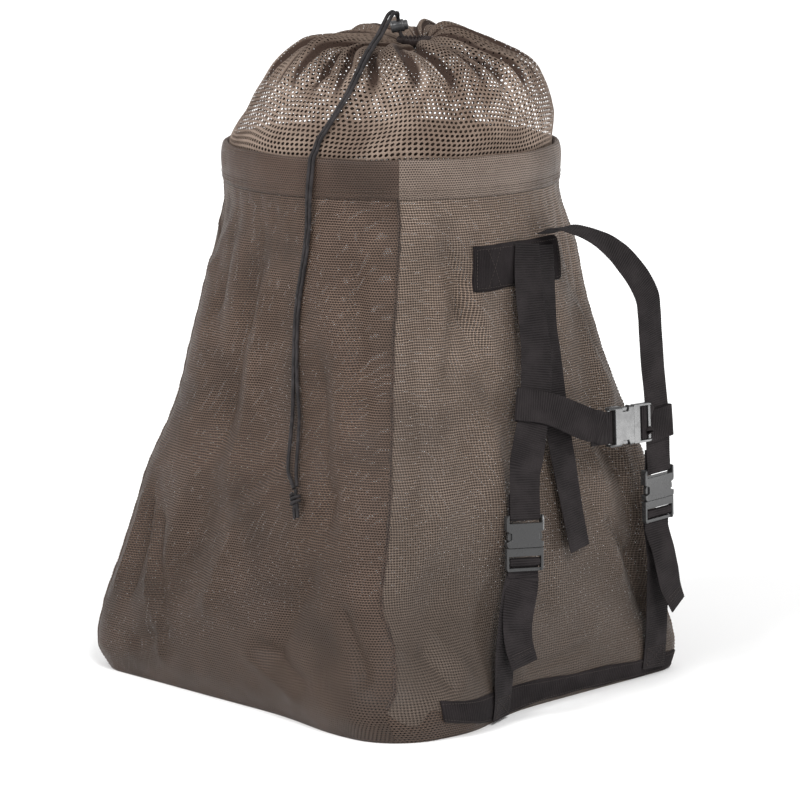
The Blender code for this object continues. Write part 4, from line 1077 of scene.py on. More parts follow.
def web_cloth(name, colour, worn):
    """Ribbed webbing: the ribs are in the mesh, with crossing yarns, fuzz and dusty wear on them."""
    graph = Graph(name)
    cloth = graph.layer()

    def wave(axis, pitch):
        return graph.math("SINE", graph.math("MULTIPLY", graph.part(cloth, axis), math.tau / pitch))

    weave = graph.math("MULTIPLY", wave(0, 0.0013), wave(1, 0.0014))
    fuzz = graph.noise(cloth, 900.0, 2.0)
    tint = graph.coats(colour, (graph.noise(cloth, 22.0, 4.0), 0.35, 0.68, 0.0, 1.0, worn),
                       (wave(1, RIB_PITCH), -0.9, 0.9, 0.0, 0.75, worn),
                       (weave, -0.6, 1.0, 0.0, 0.35, worn), (fuzz, 0.55, 0.8, 0.0, 0.4, scaled(worn, 1.6)))
    height = graph.math("ADD", graph.math("MULTIPLY", weave, 0.5), fuzz)
    return graph.finish(tint, graph.step(fuzz, 0.3, 0.7, 0.62, 0.82), 0.09, 0.006,
                        Normal=graph.bump(height, 0.0004, 0.6))


def cord_yarn():
    """Braided cord: the braid is in the mesh, with fibres and pale wear on its crowns."""
    graph = Graph("cord_yarn")
    fibre = graph.noise(graph.layer(), 1300.0, 2.0)
    tint = graph.coats(CORD_COLOUR, (graph.noise(graph.layer(), 60.0, 3.0), 0.4, 0.65, 0.0, 1.0, CORD_WORN),
                       (fibre, 0.5, 0.75, 0.0, 0.5, CORD_WORN))
    return graph.finish(tint, 0.66, 0.2, 0.03, Normal=graph.bump(fibre, 0.0003, 0.7))


def thread_yarn(name, colour):
    graph = Graph(name)
    fibre = graph.noise(graph.place(), 2600.0, 2.0)
    tint = graph.blend(fibre, colour, scaled(colour, 1.7))
    return graph.finish(tint, 0.6, 0.4, Normal=graph.bump(fibre, 0.0002, 0.5))


def plastic(name, colour, roughness, grain, wear):
    """Moulded plastic: fine grain, handling marks and slightly paler rubbed places."""
    graph = Graph(name)
    place = graph.place()
    grainy = graph.noise(place, 2400.0, 2.0)
    marks = graph.noise(place, 120.0, 5.0, 0.6)
    pale = tuple(min(value * 1.6 + 0.01, 1.0) for value in colour)
    tint = graph.blend(graph.step(marks, 0.55, 0.75, 0.0, wear), colour, pale)
    rough = graph.math("ADD", graph.step(marks, 0.35, 0.7, roughness - 0.01, roughness + 0.03),
                       graph.math("MULTIPLY", grainy, 0.03))
    return graph.finish(tint, rough, 0.5, Normal=graph.bump(grainy, 0.00006, grain))


def floor_paint():
    graph = Graph("pale_floor")
    tint = graph.blend(graph.noise(graph.place(), 1.5, 3.0), FLOOR_COLOUR, FLOOR_PALE)
    return graph.finish(tint, 0.75, 0.2)


def new_mesh(name, points, faces):
    mesh = bpy.data.meshes.new(name)
    mesh.from_pydata(points, [], faces)
    mesh.shade_smooth()
    return mesh


def built(name, builder):
    """The smooth mesh that a builder holds."""
    mesh = bpy.data.meshes.new(name)
    builder.to_mesh(mesh)
    builder.free()
    mesh.shade_smooth()
    return mesh


def add(mesh, finish, slot, *replaced, body="bag"):
    """A mesh as a piece that rides on a body, in place of nodes of the part."""
    item = new_object(mesh.name, mesh)
    mesh.materials.append(finish)
    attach(item, body)
    if replaced:
        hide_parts(*replaced)
    return item


def cloth_places(across, along):
    return np.stack(np.broadcast_arrays(across, along), axis=-1)


def quads(grid):
    """The four corners of every cell of a grid."""
    return np.stack([grid[:-1, :-1], grid[:-1, 1:], grid[1:, 1:], grid[1:, :-1]], axis=2)


def grid_mesh(name, points, places, closed=False):
    """A smooth sheet of quads from rows and columns of points, with its places in metres of cloth."""
    rows, columns = points.shape[:2]
    index = np.arange(rows * columns).reshape(rows, columns)
    if closed:
        index = np.append(index, index[:, :1], axis=1)
    faces = quads(index).reshape(-1, 4)
    mesh = new_mesh(name, points.reshape(-1, 3).tolist(), faces.tolist())
    mesh.uv_layers.new(name="cloth").data.foreach_set("uv", quads(places).ravel())
    return mesh


def join_meshes(name, meshes, caps=(), merge=False, outwards=False):
    """Meshes as one, with their texture places: caps are rings of points that a face closes."""
    builder = bmesh.new()
    for mesh in meshes:
        builder.from_mesh(mesh)
        bpy.data.meshes.remove(mesh)
    if merge:
        bmesh.ops.remove_doubles(builder, verts=builder.verts, dist=MERGE_REACH)
    builder.verts.ensure_lookup_table()
    for ring in caps:
        builder.faces.new([builder.verts[index] for index in ring])
    if outwards:
        bmesh.ops.recalc_face_normals(builder, faces=builder.faces)
    return built(name, builder)


def add_panel(node, panel, finish, slot):
    """One side of the shell, with the sewn corner seams as its edges."""
    share = np.linspace(0.0, 1.0, PANEL_ROWS + 1)[:, None]
    column = np.linspace(0.0, 1.0, PANEL_COLUMNS + 1)[None, :]
    foot = np.interp(column, *np.transpose(TAUPE_FOOT)) if panel == 0 else np.zeros_like(column)
    heights = foot + (SHELL_TOP - foot) * share
    first, last = seam_place(panel, heights), seam_place(panel + 1, heights)
    places = first + (last - first) * column
    cloth = cloth_places((places - panel - 0.5) * panel_length(heights), heights * CLOTH_SLACK)
    item = add(grid_mesh(node + "_cloth", shell_points(places, heights), cloth), finish, slot, node)


def add_base(finish):
    """The flat bottom, and the base cloth that shows below the strap panel at the front corner."""
    rows, columns = BASE_GRID
    turns = np.linspace(0.0, 4.0, columns, endpoint=False)[None, :]
    rings = np.linspace(0.02, 1.0, rows)[:, None]
    outline = shell_points(turns, 0.0, -(CLOTH + GAP))
    points = outline * rings[:, :, None]
    points[..., 2] = BASE_LIFT + BASE_RIPPLE * ripple(points[..., 0], points[..., 1], BASE_SEED)
    flat = np.concatenate([points[..., :2], points[:, :1, :2]], axis=1)
    base = grid_mesh("base", points[:, ::-1], flat[:, ::-1], closed=True)
    rows, columns = BASE_EDGE_GRID
    places = np.linspace(*BASE_EDGE, columns)[None, :]
    foot = np.interp(places, *np.transpose(TAUPE_FOOT)) + SEWN_UNDER
    heights = foot * np.linspace(0.0, 1.0, rows)[:, None]
    places = np.broadcast_to(places, heights.shape) % 4.0
    cloth = cloth_places(round_distance(places, 0.0) * BASE_PANEL, heights)
    edge = grid_mesh("edge", shell_points(places, heights, -BASE_EDGE_BACK), cloth)
    item = add(join_meshes("base_panel_cloth", [base, edge]), finish, "mesh_brown", "base_panel")


def add_seam(node, corner, finish, slot):
    """A felled seam over the joint of two panels; gives the lines that it is sewn down along."""
    foot, count = SEAM_SPAN if corner else FRONT_SEAM_SPAN
    heights = np.linspace(foot, HEM_FOOT + SEWN_UNDER, count)[:, None]
    middle = seam_place(corner, heights)
    length = panel_length(heights)
    half_width = SEAM_HALF_WIDTH if corner else FRONT_SEAM_HALF_WIDTH
    aside, rise = np.transpose(SEAM_PROFILE)
    wander, swell = (sum(size * np.sin(heights * often + start * corner) for size, often, start in waves)
                     for waves in (SEAM_WANDER, SEAM_SWELL))
    across = aside * half_width + wander
    swell = 1.0 + swell
    points = shell_points((middle + across / length) % 4.0, heights, rise * SEAM_RISE * swell)
    cloth = cloth_places(across, heights * CLOTH_SLACK)
    add(grid_mesh(node + "_cloth", points, cloth), finish, slot, node)
    lines = []
    for side, share in SEAM_STITCHES:
        places = (middle + side * half_width / length) % 4.0
        line = shell_points(places, heights, SEAM_RISE * share * swell)[:, 0]
        lines.append((line, shell_points(places, heights, SEAM_RISE * 4.0)[:, 0] - line))
    return lines


def hem_profile():
    """The hem in section from its outer foot over the top to its inner foot: radius and height."""
    outer = SHELL_RIM_RADIUS + GAP + CLOTH
    inner = SHELL_RIM_RADIUS - CLOTH - GAP - HOOP_WALL - GAP - CLOTH
    middle = (HEM_FOOT + RIM_HEIGHT) / 2.0
    return np.array((
        (SHELL_RIM_RADIUS + 0.0002, HEM_FOOT + 0.0012),
        (SHELL_RIM_RADIUS + 0.0012, HEM_FOOT - 0.0004),
        (outer + 0.0003, HEM_FOOT + 0.0008),
        (outer + 0.0002, HEM_FOOT + 0.0050),
        (outer + 0.4 * HEM_BULGE, HEM_FOOT + 0.0105),
        (outer + 0.85 * HEM_BULGE, middle - 0.0060),
        (outer + HEM_BULGE, middle + 0.0010),
        (outer + 0.9 * HEM_BULGE, middle + 0.0080),
        (outer + 0.55 * HEM_BULGE, middle + 0.0140),
        (outer + 0.0001, RIM_HEIGHT - 0.0042),
        (outer - 0.0005, RIM_HEIGHT - 0.0022),
        (outer - 0.0018, RIM_HEIGHT - 0.0006),
        (outer - 0.0036, RIM_HEIGHT),
        (inner + 0.0020, RIM_HEIGHT - 0.0004),
        (inner + 0.0004, RIM_HEIGHT - 0.0030),
        (inner - 0.0002, middle + 0.0100),
        (inner - 0.0002, middle - 0.0050),
        (inner, HEM_FOOT + 0.0030),
        (inner + 0.0006, HEM_FOOT),
    ))


def add_hem(node, first, last, finish, slot):
    profile = hem_profile()
    radii, levels = profile[:, :1], profile[:, 1:]
    count = int(round((last - first) * HEM_COLUMNS)) + 1
    places, run = np.broadcast_arrays(np.linspace(first, last, count), distances(profile)[:, None])
    around = places * SHELL_RIM_RADIUS * math.pi / 2.0
    foot = 1.0 - unit((levels - HEM_FOOT) / HEM_PUCKER_TOP)
    top = unit((levels - RIM_HEIGHT + HEM_SAG_DEPTH) / HEM_SAG_DEPTH)
    wave = ripple(around, run, HEM_SEED)
    pucker = np.sin(around * math.tau / HEM_PUCKER_LENGTH + 1.3 * np.sin(around * 37.0))
    outer = np.where(np.arange(len(profile)) < HEM_OUTER_ROWS, 1.0, 0.0)[:, None]
    radii = radii + outer * (HEM_RIPPLE * wave - HEM_RIPPLE * foot * (1.0 - pucker))
    heights = levels + HEM_PUCKER * foot * pucker * outer
    heights = heights + 0.0005 * top * np.sin(around * 61.0) - HEM_SAG * top
    points = ring_points(places, radii, heights)
    item = add(grid_mesh(node + "_cloth", points, cloth_places(around, run)), finish, slot, node)


def add_hoop(finish):
    """The smooth flat hoop inside the hem."""
    outer = SHELL_RIM_RADIUS - CLOTH - GAP
    inner = outer - HOOP_WALL
    foot = SHELL_TOP - HOOP_WIDTH
    edge = HOOP_EDGE
    profile = np.array(((outer - edge, foot), (outer, foot + edge), (outer, SHELL_TOP - edge),
                        (outer - edge, SHELL_TOP), (inner + edge, SHELL_TOP), (inner, SHELL_TOP - edge),
                        (inner, foot + edge), (inner + edge, foot), (outer - edge, foot)))
    places = np.linspace(0.0, 4.0, HOOP_COLUMNS, endpoint=False)
    points = ring_points(*np.broadcast_arrays(places, profile[:, :1], profile[:, 1:]))
    cloth = cloth_places(np.linspace(0.0, 1.22, HOOP_COLUMNS + 1), np.arange(len(profile))[:, None] * 0.004)
    mesh = join_meshes("rim_hoop_strip", [grid_mesh("hoop", points, cloth, closed=True)], merge=True)
    mesh.set_sharp_from_angle(angle=math.radians(HARD_EDGE))
    add(mesh, finish, "hoop_plastic", "rim_hoop")


def add_net(name, first, last, finish, replaced, far=0.0):
    """Half of the net collar: six-sided holes in flat yarn ridges, cut from rows of cells."""
    cell_panel = 4.0 / NET_CELLS
    step = COLLAR_LENGTHS[-1] / (NET_ROWS + 1.0 / 3.0)
    corners, spots, faces = {}, [], []

    def corner(half, third):
        """A corner that cells share: its column in half cells, its row in thirds of a row."""
        if (half, third) not in corners:
            corners[half, third] = len(spots)
            spots.append((half / 2.0, third / 3.0, 0.0))
        return corners[half, third]

    for row in range(NET_ROWS):
        way = np.interp((row + 0.6) * step, COLLAR_LENGTHS, COLLAR_WAYS)
        radius = np.interp(way, COLLAR_WAYS, COLLAR_TABLE[:, 1])
        narrow = min(max((radius + 0.035) / 0.15, 0.40), 1.0)
        for cell in range(round(first / cell_panel), round(last / cell_panel)):
            middle = 2 * cell + row % 2
            ring = [corner(middle + aside, 3 * row + third)
                    for aside, third in ((0, 0), (1, 1), (1, 3), (0, 4), (-1, 3), (-1, 1))]
            column, level = middle / 2.0, (3 * row + 2.0) / 3.0
            place = column * cell_panel
            valley = float(gather_valley(ring_angle(place + NET_SLANT * way), way))
            closed = 1.0 - 0.85 * min(valley * 1.8, 1.0)
            closed *= 1.0 - far * math.sin(math.pi / 2.0 * (place - 1.0)) ** 2
            inner = range(len(spots), len(spots) + 6)
            for index in ring:
                spots.append((column + (spots[index][0] - column) * NET_HOLE[0] * narrow * closed,
                              level + (spots[index][1] - level) * NET_HOLE[1] * closed, -NET_RIDGE))
            for side in range(6):
                after = (side + 1) % 6
                faces.append((ring[side], ring[after], inner[after], inner[side]))
    columns, rows, lifts = np.transpose(spots)
    place = columns * cell_panel
    ways = np.interp(rows * step, COLLAR_LENGTHS, COLLAR_WAYS)
    turn = place * math.pi / 2.0
    slack = unit(ways / 0.15) * unit((1.0 - ways) / 0.1)
    place = place + NET_SLANT * ways + slack * (0.020 * np.sin(3.0 * turn + 5.0 * ways)
                                                + 0.012 * np.sin(7.0 * turn - 9.0 * ways))
    ways = (ways + 0.012 * slack * np.sin(5.0 * turn + 1.0)
            + 0.007 * slack * np.sin(11.0 * turn + 8.0 * ways))
    mesh = new_mesh(name, collar_points(place, ways, lifts).tolist(), faces)
    # The fold layer carries how deep in a gather each point lies, for the yarn's painted shade
    fold = cloth_places(gather_valley(ring_angle(place), ways), ways)
    mesh.uv_layers.new(name="fold").data.foreach_set("uv", fold[np.array(faces).ravel()].ravel())
    item = add(mesh, finish, "net_brown", *replaced)


def tube_mesh(name, line, radius, braid, sides):
    """A round cord's mesh along a line of points, its surface raised in two crossing spirals."""
    tangents = unit_rows(np.gradient(line, axis=0))
    run = distances(line)
    first = np.cross(tangents[0], CORD_AXIS)
    axes = [first / np.linalg.norm(first)]
    for tangent in tangents[1:]:
        turned = axes[-1] - tangent * np.dot(axes[-1], tangent)
        axes.append(turned / np.linalg.norm(turned))
    axes = np.array(axes)
    others = np.cross(tangents, axes)
    angle = np.arange(sides) / sides * math.tau
    twist = run[:, None] / BRAID_PITCH * math.tau
    weave = np.sin(4 * angle + twist) * np.sin(4 * angle - twist)
    radii = (np.asarray(radius) * np.ones(len(line)))[:, None]
    reach = radii * (1.0 - braid / 2.0 + braid * weave)
    points = (line[:, None, :] + reach[..., None] * (np.cos(angle)[None, :, None] * axes[:, None, :]
              + np.sin(angle)[None, :, None] * others[:, None, :]))
    places = cloth_places(np.linspace(0.0, 1.0, sides + 1) * math.tau * radii, run[:, None])
    last = (len(line) - 1) * sides
    caps = (range(sides), range(last + sides - 1, last - 1, -1))
    return join_meshes(name, [grid_mesh("tube", points, places, closed=True)], caps, outwards=True)


def strand_points(side):
    """One of the drawstring's two strands: side 1 lies farther back at the lock, -1 nearer."""
    rows = [(*seen_place(right, back, height).xy, height, half, CORD_START_YAW)
            for right, back, height, half in CORD_START]
    rows += curve_through(CORD_ROUTE, CORD_SPACING)
    middles = [Vector(row[:3]) for row in rows]
    points = []
    for row, middle, before, after in zip(rows, middles, middles[:1] + middles, middles[1:] + middles[-1:]):
        tangent = (after - before).normalized()
        direction = yaw_direction(row[4])
        direction = (direction - tangent * direction.dot(tangent)).normalized()
        points.append(middle + direction * side * row[3])
    return points


def add_drawstring(finish):
    """The loop in the mouth, the two strands and their knot."""
    middle = seen_place(*MOUTH_MIDDLE)
    loop = []
    for index in range(-LOOP_STEPS, LOOP_STEPS + 1):
        angle = math.radians(LOOP_TURN * index / LOOP_STEPS)
        loop.append(middle + RIGHTWARDS * LOOP_RADIUS * math.cos(angle)
                    + DEPTHWARDS * LOOP_RADIUS * math.sin(angle))
    spacing, *shape = LOOP_CORD
    mesh = tube_mesh("drawstring_loop_cord", fine_line(loop, spacing), *shape)
    add(mesh, finish, "cord", "drawstring_loop")
    knot = add_knot(finish)
    spacing, *shape = STRAND_CORD
    for side, node in ((1, "drawstring_left"), (-1, "drawstring_right")):
        points = strand_points(side)
        line = fine_line(points, spacing)
        item = add(tube_mesh(node + "_cord", line, *shape), finish, "cord", node)


def add_knot(finish):
    """An overhand knot of both strands: two turns round a core, and two short cut ends."""
    top, foot = Vector(KNOT_TOP), Vector(KNOT_FOOT)
    down = (foot - top).normalized()
    wide = down.cross(Vector(KNOT_OUTWARDS)).normalized()
    out = wide.cross(down).normalized()

    def tube(spots, spacing, radius, braid, sides, tip=()):
        line = fine_line([top + down * along + wide * across + out * away for along, across, away in spots],
                         spacing)
        radii = np.full(len(line), radius)
        if tip:
            radii[-len(tip):] = tip
        return tube_mesh("knot", line, radii, braid, sides)

    meshes = []
    for shift in (0.0, KNOT_SHIFT):
        turn = []
        for index in range(KNOT_STEPS + 1):
            angle = math.tau * (index / KNOT_STEPS * KNOT_TURNS) + shift * 320.0
            turn.append((KNOT_START + shift * 1.6 + KNOT_RUN * index / KNOT_STEPS,
                         KNOT_HALF_WIDTH * math.sin(angle), KNOT_HALF_DEPTH * math.cos(angle)))
        meshes.append(tube(turn, *KNOT_TURN_CORD))
    meshes.append(tube(KNOT_CORE, *KNOT_CORE_CORD))
    for across, lean in KNOT_ENDS:
        spots = ((0.0160, across, 0.0), (0.0220, across + lean, 0.0002), (0.0280, across + lean, 0.0),
                 (0.0332, across + 1.6 * lean, -0.0003))
        meshes.append(tube(spots, *KNOT_END_CORD, KNOT_TIP_RADII))
    return add(join_meshes("drawstring_knot_turns", meshes), finish, "cord", "drawstring_knot")


def lock_matrix():
    lean = math.radians(LOCK_LEAN)
    axis = RIGHTWARDS * math.cos(lean) + Vector((0.0, 0.0, math.sin(lean)))
    return frame_matrix(axis, DEPTHWARDS, axis.cross(DEPTHWARDS), seen_place(*LOCK_MIDDLE))


def hole_tool(foot, top):
    """The oval rod that cuts the strands' hole through the lock."""
    outline = []
    for index in range(HOLE_SIDES):
        turn = math.tau * (index + 0.5) / HOLE_SIDES
        along = (foot + top) / 2.0 + (top - foot) / 2.0 * math.cos(turn)
        outline.append((along, HOLE_HALF_WIDTH * math.sin(turn)))
    reach = 2.0 * BARREL_RADIUS
    builder = bmesh.new()
    low, high = ([builder.verts.new((*spot, level)) for spot in outline] for level in (-reach, reach))
    builder.faces.new(low)
    builder.faces.new(high)
    for ring in zip(low, low[1:] + low[:1], high[1:] + high[:1], high):
        builder.faces.new(ring)
    bmesh.ops.recalc_face_normals(builder, faces=builder.faces)
    return new_object("hole_tool", built("hole_tool", builder))


def turned_solid(name, profile, hole, ribs):
    """A body turned round the lock's barrel axis, with the oval hole for the strands cut through."""
    builder = bmesh.new()
    rings = []
    for place, radius in profile:
        if radius == 0.0:
            rings.append([builder.verts.new((place, 0.0, 0.0))] * LOCK_SIDES)
            continue
        ring = []
        for side in range(LOCK_SIDES):
            angle = math.tau * (side + 0.5) / LOCK_SIDES
            reach = radius
            if ribs and radius == BARREL_RADIUS:
                reach -= RIB_CUT * (0.5 + 0.5 * math.cos(angle * ribs)) ** 3
            ring.append(builder.verts.new((place, reach * math.cos(angle), reach * math.sin(angle))))
        rings.append(ring)
    for before, after in zip(rings, rings[1:]):
        for side in range(LOCK_SIDES):
            beside = (side + 1) % LOCK_SIDES
            corners = (before[side], before[beside], after[beside], after[side])
            builder.faces.new(list(dict.fromkeys(corners)))
    bmesh.ops.recalc_face_normals(builder, faces=builder.faces)
    item = new_object(name, built(name, builder))
    tool = hole_tool(*hole)
    change = item.modifiers.new("hole", "BOOLEAN")
    change.operation = "DIFFERENCE"
    change.solver = "EXACT"
    change.object = tool
    graph = bpy.context.evaluated_depsgraph_get()
    finished = bpy.data.meshes.new_from_object(item.evaluated_get(graph))
    for made in (item, tool):
        mesh = made.data
        bpy.data.objects.remove(made)
        bpy.data.meshes.remove(mesh)
    finished.name = name
    finished.transform(lock_matrix())
    finished.shade_smooth()
    finished.set_sharp_from_angle(angle=math.radians(LOCK_HARD_EDGE))
    return finished


def add_lock(finish):
    """The cord lock: a ribbed barrel with a rolled lip, and its domed push button."""
    left, right = BARREL_ENDS
    groove = BARREL_RADIUS - 0.0004
    profile = ((left, 0.0), (left, 0.0040), (left + 0.0002, 0.0056), (left + 0.0008, 0.0068),
               (left + 0.0018, BARREL_RADIUS), (left + 0.0026, BARREL_RADIUS), (left + 0.0030, groove),
               (right - 0.0030, groove), (right - 0.0024, BARREL_RADIUS), (right - 0.0006, BARREL_RADIUS),
               (right, groove), (right, BORE_RADIUS), (left + BARREL_FLOOR, BORE_RADIUS),
               (left + BARREL_FLOOR, 0.0))
    mesh = turned_solid("cord_lock_barrel_case", profile, BARREL_HOLE, RIBS)
    add(mesh, finish, "lock_plastic", "cord_lock_barrel")
    left, right = BUTTON_ENDS
    dome = []
    for index in range(6):
        turn = math.radians(90.0 * index / 5.0)
        dome.append((right - 0.0020 + 0.0020 * math.sin(turn),
                     BUTTON_RADIUS - 0.0018 + 0.0018 * math.cos(turn)))
    profile = ((left, 0.0), (left, BUTTON_RADIUS - 0.0003), (left + 0.0003, BUTTON_RADIUS),
               *dome, (right - 0.0002, 0.0016), (right - 0.0002, 0.0))
    mesh = turned_solid("cord_lock_button_cap", profile, BUTTON_HOLE, 0)
    add(mesh, finish, "lock_plastic", "cord_lock_button", body="lock_button")


def strap_route(rows):
    """Stations of a strap, a middle and the way of its width at each, from its route."""
    return [(Vector(row[:3]), yaw_direction(row[3])) for row in curve_through(rows, STRAP_SPACING)]


class BuckleFrame:
    """Where a buckle lies: its middle, its width, its length towards the socket, and its face."""

    def __init__(self, middle, yaw, towards_socket, across=None):
        self.middle = Vector(middle)
        self.length = Vector(towards_socket).normalized()
        level = Vector(across) if across else yaw_direction(yaw)
        self.face = level.cross(self.length).normalized()
        self.width = level.normalized() if across else self.length.cross(self.face).normalized()
        self.length = self.face.cross(self.width).normalized()

    def at(self, along, out):
        return self.middle + self.length * along + self.face * out

    def row(self, along, out):
        """A row of a strap's route."""
        return (*self.at(along, out), math.degrees(math.atan2(self.width.y, self.width.x)))

    def stations(self, pairs):
        return [(self.at(*pair), self.width) for pair in pairs]


def strap_surface(stations):
    """The middle points, normals and sides of a strap at dense stations, and the distance along it."""
    rows = curve_through([(*place, *across) for place, across in stations], RIB_PITCH / 4.0)
    middles = np.array([tuple(Vector(row[:3])) for row in rows])
    across = np.array([tuple(Vector(row[3:]).normalized()) for row in rows])
    tangents = unit_rows(np.gradient(middles, axis=0))
    normals = unit_rows(np.cross(tangents, across))
    return middles, normals, np.cross(normals, tangents), distances(middles)


def add_ribbon(node, stations, finish):
    """A ribbed webbing strap along its stations."""
    name = node + "_webbing"
    middles, normals, sides, run = strap_surface(stations)
    profile = np.array(WEB_PROFILE)
    across, out = np.transpose(profile)
    size = len(profile)
    wall = WEB_WALL / 2.0 - 0.00008
    rib = np.sin(run / RIB_PITCH * math.tau)[:, None]
    half = WEB_WIDTH / 2.0 + 0.00018 * rib + 0.00035 * np.sin(run * 61.0 + len(name))[:, None]
    ribbed = RIB_RISE * rib * np.sign(out) * (np.abs(across) < 0.97)
    cup = 0.0006 * np.sin(run * 23.0 + 3.0 * len(name))[:, None] * (across ** 2 - 0.4)
    ends = unit(np.minimum(run, run[-1] - run) / 0.02)[:, None]
    lift = out * wall + ribbed + cup * ends * 0.5
    points = (middles[:, None, :] + sides[:, None, :] * (across * half)[..., None]
              + normals[:, None, :] * lift[..., None])
    girth = distances(profile * (WEB_WIDTH / 2.0, wall))
    places = cloth_places(np.append(girth, girth[-1] + 0.001), run[:, None])
    caps = [[start + corner for corner in (index, index + 1, size - 2 - index, size - 1 - index)]
            for start in (0, (len(middles) - 1) * size) for index in range(size // 2 - 1)]
    mesh = join_meshes(name, [grid_mesh("ribbon", points, places, closed=True)], caps, outwards=True)
    add(mesh, finish, "webbing", node)


def strap_stitches(stations, ends, kinds, face):
    """Lines of stitches on a strap between two distances: a box, a cross or bars across it."""
    first, last = ends
    middles, normals, sides, run = strap_surface(stations)
    out = face * (WEB_WALL / 2.0 + 0.0001)
    half = STITCH_HALF_WIDTH
    corners = ((first, -half), (first, half), (last, half), (last, -half))
    steps = np.arange(STITCH_STEPS + 1)
    lines = []
    for kind in kinds:
        for pair in STITCH_KINDS[kind]:
            start, end = (corners[corner] for corner in pair)
            distance, aside = (start[axis] + (end[axis] - start[axis]) * steps / STITCH_STEPS
                               for axis in (0, 1))
            middle, normal, side = (np.transpose(read_rows(distance, run, values))
                                    for values in (middles, normals, sides))
            lines.append((middle + side * aside[:, None] + normal * out, normal * face))
    return lines


def add_stitches(name, lines, finish, slot):
    """Sewing thread along lines of points and normals: one small rounded stitch after another."""
    sides = STITCH_SIDES
    points, faces = [], []
    angles = np.arange(sides) / sides * math.tau
    for line, outs in lines:
        run = distances(line)
        count = max(1, int((run[-1] + STITCH_GAP) / (STITCH_LENGTH + STITCH_GAP)))
        spare = (run[-1] - count * STITCH_LENGTH) / count
        for stitch in range(count):
            start = stitch * (STITCH_LENGTH + spare) + spare / 2.0
            base = len(points)
            first, last = (np.array(read_rows(start + way, run, line)) for way in (0.0, STITCH_LENGTH))
            out = np.array(read_rows(start, run, outs))
            along = (last - first) / np.linalg.norm(last - first)
            out = out - along * out.dot(along)
            out /= np.linalg.norm(out)
            aside = np.cross(along, out)
            for share, size, lift in STITCH_RINGS:
                middle = first + (last - first) * share + out * STITCH_RADIUS * lift
                for angle in angles:
                    points.append(tuple(middle + STITCH_RADIUS * size * (math.cos(angle) * out
                                                                         + math.sin(angle) * aside)))
            for ring in range(base, len(points) - sides, sides):
                for side in range(sides):
                    a, b = ring + side, ring + (side + 1) % sides
                    faces.append((a, b, b + sides, a + sides))
            faces.append(tuple(range(base + sides - 1, base - 1, -1)))
            faces.append(tuple(range(len(points) - sides, len(points))))
    add(new_mesh(name, points, faces), finish, slot)


def crossing(stations, height):
    """The frame of a turn round a strap at a height: along runs to the left across the strap."""
    for (above, across), (below, _) in zip(stations, stations[1:]):
        if above.z >= height >= below.z:
            share = (above.z - height) / (above.z - below.z)
            return BuckleFrame(above.lerp(below, share), 0.0, -across, (above - below).normalized())
    raise ValueError("the strap doesn't pass that height")


def shell_strip(node, rows, places, feet, tops, wall, finish):
    """A strip of webbing on the strap panel, from its places and the heights of its two edges."""
    name = node + "_webbing"
    count = len(places)
    profile = np.linspace(0.0, 1.0, rows)[:, None]
    edge = np.sqrt(unit(1.0 - (2.0 * profile - 1.0) ** 16))
    rib = np.sin(places * STRIP_PANEL / RIB_PITCH * math.tau)
    heights = feet + (tops - feet) * profile
    heights = heights + 0.0003 * rib * (2.0 * profile - 1.0)
    grid = np.broadcast_to(places, heights.shape)
    points = shell_points(grid, heights, STRIP_LIFT + wall * edge + RIB_RISE * rib * edge)
    cloth = cloth_places(heights, grid * STRIP_PANEL)
    front = grid_mesh("front", points, cloth)
    back = grid_mesh("back", shell_points(grid, heights, STRIP_BACK)[:, ::-1], cloth[:, ::-1])
    ahead = np.arange(rows * count).reshape(rows, count)
    behind = ahead[:, ::-1] + rows * count
    edges = [(ahead[line], behind[line]) for line in (0, -1)]
    edges += [(ahead[:, column], behind[:, column]) for column in (0, -1)]
    caps = [ring for near, far in edges for ring in zip(near, near[1:], far[1:], far)]
    mesh = join_meshes(name, [front, back], caps, outwards=True)
    mesh.set_sharp_from_angle(angle=math.radians(HARD_EDGE))
    add(mesh, finish, "webbing", node)


def on_shell(pairs, lift):
    """A line on the shell between pairs of place and height, with its normals."""
    places, heights = np.concatenate([np.linspace(*ends, 30) for ends in zip(pairs, pairs[1:])]).T
    line = shell_points(places % 4.0, heights, lift)
    return line, shell_points(places % 4.0, heights, lift + 0.005) - line


